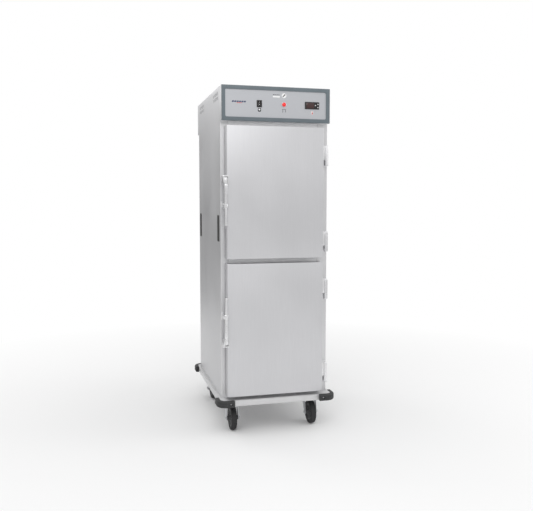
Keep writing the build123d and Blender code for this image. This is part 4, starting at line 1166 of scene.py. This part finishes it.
for tag, way in (("front_upper", -1), ("front_lower", 1)):
    door, lever = f"{tag}_door", f"{tag}_lever"
    bracket_node, lever_node = f"{tag}_latch_bracket", f"{tag}_latch_lever"
    low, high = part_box(f"{tag}_door_skin")
    magnet_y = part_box(lever_node)[1].y
    start = low.z + reach if way < 0 else high.z - reach
    face_y = low.y

    def height(distance):
        """Height of a point along this latch."""
        return start + way * distance

    def across(bm, half_length, radius, edge, steps):
        """A rod along X at the lever's pin."""
        pin_z = height(pin_at)
        rod(bm, (lever_x - half_length, lever_y, pin_z), (lever_x + half_length, lever_y, pin_z), radius,
            edge, steps)

    outline = [(lever_x - 20 * mm, height(0)), (lever_x + 12 * mm, height(0)),
               (lever_x + 12 * mm, height(43 * mm)), (lever_x - 12 * mm, height(43 * mm))]
    bm = bmesh.new()
    outline_plate(bm, [(x, face_y - hood_lift, z) for x, z in outline], (0, -hood_depth, 0),
                  [3 * mm, 3 * mm, 1.5 * mm, 1.5 * mm], rim=1.3 * mm)
    pocket = bmesh.new()
    z0, z1 = sorted((height(6.4 * mm), height(50 * mm)))
    round_block(pocket, (lever_x - 8.9 * mm, face_y - 30 * mm, z0), (lever_x + 8.9 * mm, face_y - 3 * mm, z1))
    dress(cut_out(f"{tag}_latch_hood", bm, pocket), fitting_metal, door, [bracket_node],
          to_rear=True)

    bm = bmesh.new()
    z0, z1 = sorted((height(4 * mm), height(39 * mm)))
    round_block(bm, (low.x - 20 * mm, face_y - 0.5 * mm, z0), (low.x, face_y + 26 * mm, z1), 2 * mm, 4)
    rod(bm, (lever_x - 13.2 * mm, lever_y, height(pin_at)), (lever_x + 12.6 * mm, lever_y, height(pin_at)),
        3 * mm, 0.8 * mm, 24)
    settle(f"{tag}_latch_web", bm, fitting_metal, door, to_rear=True)

    bm = bmesh.new()
    screw_y = face_y - 22.95 * mm
    screw(bm, (lever_x - 13.8 * mm, screw_y, height(8.5 * mm)), (0, -1, 0), 2.7 * mm, 1.2 * mm)
    screw(bm, (lever_x - 11.4 * mm, screw_y, height(33 * mm)), (0, -1, 0), 1.9 * mm, 1.0 * mm)
    for distance in (11 * mm, 32 * mm):
        screw(bm, (low.x - 20 * mm, face_y + 13 * mm, height(distance)), (-1, 0, 0), 3.0 * mm, 1.4 * mm)
    settle(f"{tag}_latch_screws", bm, screw_metal, door, to_rear=True)

    bm = bmesh.new()
    z0, z1 = sorted((height(pin_at), height(46 * mm)))
    round_block(bm, (lever_x - head, lever_y - head, z0), (lever_x + head, lever_y + head, z1), 1.2 * mm, 3)
    across(bm, head, head, 1.2 * mm, 36)
    bore = bmesh.new()
    across(bore, 2 * head, 3.3 * mm, 0, 24)
    dress(cut_out(f"{tag}_lever_head", bm, bore), fitting_metal, lever, to_rear=True)
    bm = bmesh.new()
    turned(bm, grip, (lever_x, lever_y, start), (0, 0, way), 40)
    settle(f"{tag}_lever_grip", bm, fitting_metal, lever, [lever_node], to_rear=True)

    bm = bmesh.new()
    middle = height(knob_at)
    round_block(bm, (lever_x - 7 * mm, lever_y, middle - 9 * mm),
                (lever_x + 7 * mm, magnet_y - 4 * mm, middle + 9 * mm), 1.2 * mm, 3)
    round_block(bm, (lever_x - 5.8 * mm, magnet_y - 6 * mm, middle - 7.8 * mm),
                (lever_x + 5.8 * mm, magnet_y, middle + 7.8 * mm), 0.8 * mm, 2)
    settle(f"{tag}_lever_magnet", bm, fitting_metal, lever, to_rear=True)

    plate = bar(*strike_x, middle - strike_half, middle + strike_half)
    front_plate(strikes, plate, jamb_face, -strike_sheet, 3 * mm, rim=0.6 * mm)
    for shift in (-14.5 * mm, 14.5 * mm):
        place = (sum(strike_x) / 2, jamb_face - 2.9 * mm, middle + shift)
        screw(strike_screws, place, (0, -1, 0), 2.6 * mm, 0.9 * mm)
settle("front_strikes", strikes, fitting_metal, "cabinet", ["latch_strikes"],
       to_rear=True)
settle("front_strike_screws", strike_screws, screw_metal, "cabinet", to_rear=True)

# %% [markdown]
# ## Casters
# A swivel caster is a plate with a ball raceway, a pressed fork and a wheel on a bolt. The fork's legs are
# a pressed outline, wide at the crown and round at the axle, with rolled edges. The tyre is a turned
# profile with a crowned tread, a shoulder radius and a mould ring on its side; the hub inside it is a
# second profile with a boss. The trail puts the axle further out than the swivel, so the wheel follows the
# way that the cabinet is pushed.

# %% Caster tops
swivel_x, swivel_y = 221 * mm, -269 * mm
axle_y, axle_z = -301 * mm, 63.5 * mm
fork_top, crown_bottom = 150.7 * mm, 140 * mm
plate_half = (46 * mm, 52 * mm)
bolt_at = (37 * mm, 43 * mm)
plate_sheet = 4 * mm
plate_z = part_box("caster_tops")[1].z
race = in_mm((0, 3), (31, 3), (32, 4)) + arc((30.5 * mm, 5.2 * mm), 2.6 * mm, 10, 90, 5)
race += in_mm((6, 8), (6, 19.3), (11, 19.3), (11, 22.4), (10, 23.3), (0, 23.3))
bolt_head = in_mm((0, 0), (7.4, 0), (7.4, 0.8), (6.8, 5), (0, 5))
bm = bmesh.new()
bolts = bmesh.new()
for side in (-1, 1):
    x, y = side * swivel_x, swivel_y
    level_plate(bm, (x, y, plate_z), *plate_half, -plate_sheet, 6 * mm, rim=0.8 * mm)
    turned(bm, race, (x, y, plate_z), (0, 0, -1), 40)
    for a in (-1, 1):
        for b in (-1, 1):
            place = Vector((x + a * bolt_at[0], y + b * bolt_at[1], plate_z - plate_sheet))
            turned(bolts, bolt_head, place, (0, 0, -1), 6)
settle("front_caster_plates", bm, zinc_metal, "cabinet", ["caster_tops"], to_rear=True)
settle("front_caster_bolts", bolts, screw_metal, "cabinet", to_rear=True)

# %% Forks and wheels
fork_half_x, fork_half_y = 33 * mm, 28 * mm
end_radius = 13 * mm
axle_head = in_mm((0, -0.5), (8.5, -0.5), (8.5, 4.8), (7.6, 6), (4.6, 6), (4.2, 5.4), (0, 5.4))
tread = in_mm((45.5, -12), (47, -13.6), (51, -14.4), (52, -13.8), (53, -14.4))
tread += arc((57.6 * mm, -9.6 * mm), 5.2 * mm, -80, -12, 6) + in_mm((63.4, -4), (63.5, 0))
tread += [(r, -t) for r, t in reversed(tread[:-1])]
hub = in_mm((5.6, -29.4), (10, -29.4), (11, -28.6), (13, -14), (15, -11.5), (18, -8.5), (36, -7.5),
            (40, -10.5), (45.6, -12))
hub += [(r, -t) for r, t in reversed(hub)]
spoke = ((-10 * mm, 16 * mm, -1.6 * mm), (10 * mm, 39 * mm, 1.6 * mm), 0.8 * mm)
for side, name in ((-1, "front_left"), (1, "front_right")):
    x = side * swivel_x
    axle = (x, axle_y, axle_z)
    fork, wheel = f"{name}_fork", f"{name}_wheel"
    fork_node, wheel_node = f"{name}_caster_fork", f"{name}_caster_wheel"
    bm = bmesh.new()
    level_plate(bm, (x, swivel_y, crown_bottom), fork_half_x, fork_half_y, fork_top - crown_bottom, 3 * mm,
                rim=3 * mm)
    hole = bmesh.new()
    rod(hole, (x, swivel_y, crown_bottom - 5 * mm), (x, swivel_y, fork_top + 5 * mm), 6.6 * mm, 0, 32)
    dress(cut_out(f"{name}_fork_crown", bm, hole), zinc_metal, fork, [fork_node], to_rear=True)

    bm = bmesh.new()
    for leg in (-1, 1):
        outer = x + leg * fork_half_x
        points = [(swivel_y + fork_half_y, fork_top - 5 * mm), (swivel_y - fork_half_y, fork_top - 5 * mm)]
        points += [(axle_y + end_radius * cos(radians(a)), axle_z + end_radius * sin(radians(a)))
                   for a in range(180, 361, 15)]
        outline_plate(bm, [(outer, a, b) for a, b in points], (-leg * 3 * mm, 0, 0), [0] * len(points),
                      rim=0.8 * mm)
        round_block(bm, (outer - leg * 1.2 * mm, axle_y + 4 * mm, axle_z + 20 * mm),
                    (outer + leg * 0.01 * mm, axle_y + 22 * mm, fork_top - 12 * mm), 0.5 * mm, 2)
    settle(f"{name}_fork_legs", bm, zinc_metal, fork, to_rear=True)

    bm = bmesh.new()
    rod(bm, (x - fork_half_x, axle_y, axle_z), (x + fork_half_x, axle_y, axle_z), 5 * mm, 0.3 * mm, 24)
    for leg in (-1, 1):
        turned(bm, axle_head, (x + leg * fork_half_x, axle_y, axle_z), (leg, 0, 0), 6)
    settle(f"{name}_axle_bolt", bm, screw_metal, fork, to_rear=True)

    bm = bmesh.new()
    turned(bm, tread + [tread[0]], axle, (1, 0, 0), 72)
    settle(f"{name}_tyre", bm, tyre_rubber, wheel, [wheel_node], to_rear=True)
    bm = bmesh.new()
    turned(bm, hub + [hub[0]], axle, (1, 0, 0), 56)
    block_ring(bm, 8, "X", axle, [spoke])
    settle(f"{name}_hub", bm, hub_plastic, wheel, to_rear=True)

# %% [markdown]
# ## Cavity
# Behind the doors the trays run on angle slides that are riveted to square uprights. An angle slide is an
# L-shaped section, drawn once and extruded from front to back with its bend rounded. The levels follow from
# the first ledge of each opening and the tray pitch.

# %% Slides and uprights
first_ledges, pitch, count = (290 * mm, 970.5 * mm), 76 * mm, 8
levels = [first + level * pitch for first in first_ledges for level in range(count)]
slide_low, slide_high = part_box("tray_slides")
slide_sheet, ledge, flange = 2 * mm, 26 * mm, 16 * mm
face = slide_high.x
tip, inner_face = face - ledge, face - slide_sheet
bm = bmesh.new()
for side in (-1, 1):
    for z in levels:
        section = [(tip, z - slide_sheet), (face, z - slide_sheet), (face, z + flange),
                   (inner_face, z + flange), (inner_face, z), (tip, z)]
        points = [(side * x, slide_low.y, z) for x, z in section]
        outline_plate(bm, points, (0, slide_high.y - slide_low.y, 0),
                      [0.6 * mm, 2 * mm, 0.6 * mm, 0.6 * mm, 0, 0.6 * mm])
settle("angle_slides", bm, liner_steel, "cabinet", ["tray_slides"])
post_low, post_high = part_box("rack_uprights")
post_y, post_half = 260 * mm, 15 * mm
bm = bmesh.new()
rivets = bmesh.new()
for side in (-1, 1):
    inner, outer = side * slide_high.x, side * post_high.x
    for end in (-1, 1):
        middle = end * post_y
        corners = bar(inner, outer, middle - post_half, middle + post_half)
        points = [(x, y, post_low.z) for x, y in corners]
        outline_plate(bm, points, (0, 0, post_high.z - post_low.z), [2 * mm] * 4)
        for z in levels:
            place = (inner - side * slide_sheet, middle, z + 9 * mm)
            screw(rivets, place, (-side, 0, 0), 3.0 * mm, 1.4 * mm, 3)
settle("rack_posts", bm, liner_steel, "cabinet", ["rack_uprights"])
settle("slide_rivets", rivets, screw_metal, "cabinet")

# %% [markdown]
# ## Air and steam
# Warm air is drawn through the hole in the baffle and thrown outwards by the fan wheel over a ring element.
# The wheel is a spun disc with folded blades on a hub. Moisture comes from an open pan on a heated plate: a
# drawn pan has rounded corners and a thin rim, which an inset and a push make from one block.

# %% Fan and motor
fan_low, fan_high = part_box("fan_wheel")
disc_top = 1592 * mm
back_plate = in_mm((0, 0), (80, 0), (82, 0.3)) + arc((83.8 * mm, 1 * mm), 1.0 * mm, -90, 90, 4)
back_plate += in_mm((81, 2), (0, 2))
fan_hub = in_mm((0, 0), (9, 0), (12, 2), (12, 15), (14, 16.2), (0, 16.2))
blade = ((37 * mm, -0.75 * mm, fan_low.z), (82.5 * mm, 0.75 * mm, disc_top - 1.8 * mm), 0.5 * mm)
blade_foot = ((37 * mm, -0.7 * mm, disc_top - 3.4 * mm), (82.5 * mm, 7 * mm, disc_top - 1.9 * mm), 0.5 * mm)
bm = bmesh.new()
turned(bm, back_plate, (0, 0, disc_top - 2 * mm), (0, 0, 1), 64)
turned(bm, fan_hub, (0, 0, fan_low.z), (0, 0, 1), 40)
rod(bm, (0, 0, disc_top - mm), (0, 0, fan_high.z), 4 * mm, 0.6 * mm, 24)
block_ring(bm, 8, "Z", (0, 0, 0), [blade, blade_foot])
settle("fan_impeller", bm, zinc_metal, "fan", ["fan_wheel"])

motor_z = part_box("fan_motor")[0].z
can = in_mm((5, -1), (38, -1), (38, 6), (42, 8))
for fin in range(7):
    t = (11 + fin * 5) * mm
    can += [(42 * mm, t), (42 * mm, t + 2 * mm), (39.5 * mm, t + 2.4 * mm), (39.5 * mm, t + 4.6 * mm)]
can += in_mm((42, 47), (42, 50)) + arc((34 * mm, 52 * mm), 8 * mm, 0, 90, 6)
can += in_mm((0, 60), (0, 41), (5, 41), (5, -1))
bm = bmesh.new()
turned(bm, can, (0, 0, motor_z), (0, 0, 1), 48)
level_plate(bm, (0, 0, motor_z), 55 * mm, 55 * mm, 3 * mm, 8 * mm, rim=0.6 * mm)
shaft_way = bmesh.new()
rod(shaft_way, (0, 0, motor_z - 10 * mm), (0, 0, motor_z + 5 * mm), 5 * mm, 0, 32)
dress(cut_out("motor_can", bm, shaft_way), zinc_metal, "cabinet", ["fan_motor"])

# %% Heaters and water pan
ring_z, ring_radius, sheath_radius = 1586 * mm, 111 * mm, 4 * mm
lead_x, lead_top = 20 * mm, 1652 * mm
sides = 12
circle = [(ring_radius + sheath_radius * cos(tau * i / sides), sheath_radius * sin(tau * i / sides))
          for i in range(sides)]
bm = bmesh.new()
turned(bm, circle + [circle[0]], (0, 0, ring_z), (0, 0, 1), 72)
settle("heater_ring", bm, sheath_metal, "cabinet", ["heater_elements"])
bm = bmesh.new()
for side in (-1, 1):
    x, y = side * lead_x, ring_radius
    rod(bm, (x, y, ring_z), (x, y, lead_top), sheath_radius, 0.4 * mm, 20)
    rod(bm, (x, y, 1650 * mm), (x, y, 1660 * mm), 2.2 * mm, 0.5 * mm, 16)
round_block(bm, (-130 * mm, -180 * mm, 216 * mm), (130 * mm, 180 * mm, 220 * mm), 1 * mm, 3)
settle("heater_terminals", bm, sheath_metal, "cabinet")
low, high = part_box("water_pan")
top = high.z
bm = bmesh.new()
round_block(bm, low, high, 9 * mm, 5, only=lambda e: min(v.co.z for v in e.verts) < top - mm)
face = max(bm.faces, key=lambda f: (round(f.calc_center_median().z, 5), f.calc_area()))
for inset, push in in_mm((1.0, 0.0), (0.8, -43)):
    bmesh.ops.inset_region(bm, faces=[face], thickness=inset, depth=push, use_even_offset=True)
settle("drawn_pan", bm, liner_steel, "water_pan", ["water_pan"])

# %% [markdown]
# ## The frame's own shapes
# Two nodes, the cavity's liner and the insulation, already have the right shape and only need a finish. A
# frame node keeps its mesh, and its material slots are given the new material by the name of the slot that
# the record has.

# %% Finish the frame's own nodes
slot_finish = {"liner_steel": liner_steel, "mineral_wool": wool}
carried = 0
for name, slot in slot_of.items():
    node = frame["nodes"][name]
    if node.hide_render:
        continue
    carried += 1
    for place in node.material_slots:
        place.material = slot_finish[slot]
print("frame nodes that show:", carried)

# %% [markdown]
# ## Studio
# The floor is a wide pale disc that turns pure white at its rim, so that no horizon shows. The light is one
# big soft source above and in front, weaker ones from the right and from behind, and a white surround.
# Metal shows what is around it, so the surround that it reflects is dimmer behind the cabinet and below
# than the white that shows.

# %% Floor
floor_radius = 3.6
bm = bmesh.new()
bmesh.ops.create_circle(bm, cap_ends=True, segments=96, radius=floor_radius)
floor = new_object("studio_floor", bm)
floor_finish = start_finish("pale_floor", (0.86, 0.86, 0.86), Roughness=0.8)
place = add(floor_finish, "ShaderNodeTexCoord").outputs["Object"]
from_middle = add(floor_finish, "ShaderNodeVectorMath", {0: place}, operation="LENGTH").outputs["Value"]
rim = ramp(floor_finish, from_middle, 0.0, 1.0, 0.9, 3.0)
glow = add(floor_finish, "ShaderNodeEmission", {"Color": (1, 1, 1, 1), "Strength": 1.0})
mixed = add(floor_finish, "ShaderNodeMixShader", {0: rim})
tree = floor_finish.node_tree
tree.links.new(tree.nodes["Principled BSDF"].outputs[0], mixed.inputs[1])
tree.links.new(glow.outputs[0], mixed.inputs[2])
tree.links.new(mixed.outputs[0], tree.nodes["Material Output"].inputs["Surface"])
floor.data.materials.append(floor_finish)
floor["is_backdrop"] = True
print("floor radius", floor_radius, "m")

# %% Surround
world = bpy.data.worlds.new("studio")
bpy.context.scene.world = world
world.use_nodes = True
world.node_tree.nodes.clear()
white = (1.0, 1.0, 1.0, 1.0)
way = add(world, "ShaderNodeSeparateXYZ", {0: add(world, "ShaderNodeTexCoord").outputs["Generated"]})
upward = add(world, "ShaderNodeMapRange", {0: way.outputs["Z"], 1: -0.35, 2: 0.55, 3: 0.55, 4: 0.95})
dim = add(world, "ShaderNodeMapRange", {0: way.outputs["Z"], 1: 0.02, 2: 0.30, 3: 0.36, 4: 0.85})
backward = {0: way.outputs["Y"], 1: -0.40, 2: 0.75, 3: 1.0, 4: dim.outputs[0]}
rearward = add(world, "ShaderNodeMapRange", backward)
level = add(world, "ShaderNodeMath", {0: upward.outputs[0], 1: rearward.outputs[0]}, operation="MULTIPLY")
lit = add(world, "ShaderNodeBackground", {"Color": white, "Strength": level.outputs[0]})
seen = add(world, "ShaderNodeBackground", {"Color": white, "Strength": 1.0})
ray = add(world, "ShaderNodeLightPath").outputs["Is Camera Ray"]
both = add(world, "ShaderNodeMixShader", {0: ray, 1: lit.outputs[0], 2: seen.outputs[0]})
add(world, "ShaderNodeOutputWorld", {"Surface": both.outputs[0]})
print("surround is ready")

# %% Lamps
def soft_light(name, place, aim, size, power):
    """A square soft light that faces a point."""
    data = bpy.data.lights.new(name, "AREA")
    data.shape, data.size, data.energy = "SQUARE", size, power
    light = bpy.data.objects.new(name, data)
    light.location = place
    light.rotation_euler = (Vector(aim) - Vector(place)).to_track_quat("-Z", "Y").to_euler()
    bpy.context.scene.collection.objects.link(light)


middle = (0.0, 0.0, (cad_low.z + cad_high.z) / 2)
lamps = (
    ("key_light", (-0.9, -3.4, 3.6), 2.4, 42.0),
    ("side_light", (3.6, -1.0, 2.4), 2.0, 25.0),
    ("rear_light", (-2.0, 2.4, 2.9), 1.6, 16.0),
)
for name, place, size, power in lamps:
    soft_light(name, place, middle, size, power)
print("lamps:", len(lamps))

# %% [markdown]
# ## Camera
# The camera stands to the left of the cabinet's front at a little above chest height and looks slightly
# down. The lens is a normal one. The picture's vertical lines stay nearly upright because the camera hardly
# tilts.

# %% Camera
camera_data = bpy.data.cameras.new("camera")
camera_data.lens = 44.584
camera_data.sensor_width = 36.0
camera = bpy.data.objects.new("camera", camera_data)
camera.location = (-0.91122, -3.71633, 1.21424)
camera.rotation_mode = "XYZ"
camera.rotation_euler = (pi / 2 - 0.0787, 0.0, -0.2523)
bpy.context.scene.collection.objects.link(camera)
bpy.context.scene.camera = camera
bpy.context.scene.view_settings.view_transform = "Standard"
print("camera at", tuple(round(c, 2) for c in camera.location))

# %% [markdown]
# ## Size
# The boxes of the engineering model and of the dressed one are compared, because the looks may not change
# the size. The last line prints the largest difference between them.

# %% Finish
low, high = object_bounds()
apart = max(abs(a - b) for a, b in zip([*low, *high], [*cad_low, *cad_high]))
print("boxes differ by at most", round(apart / mm, 2), "mm")
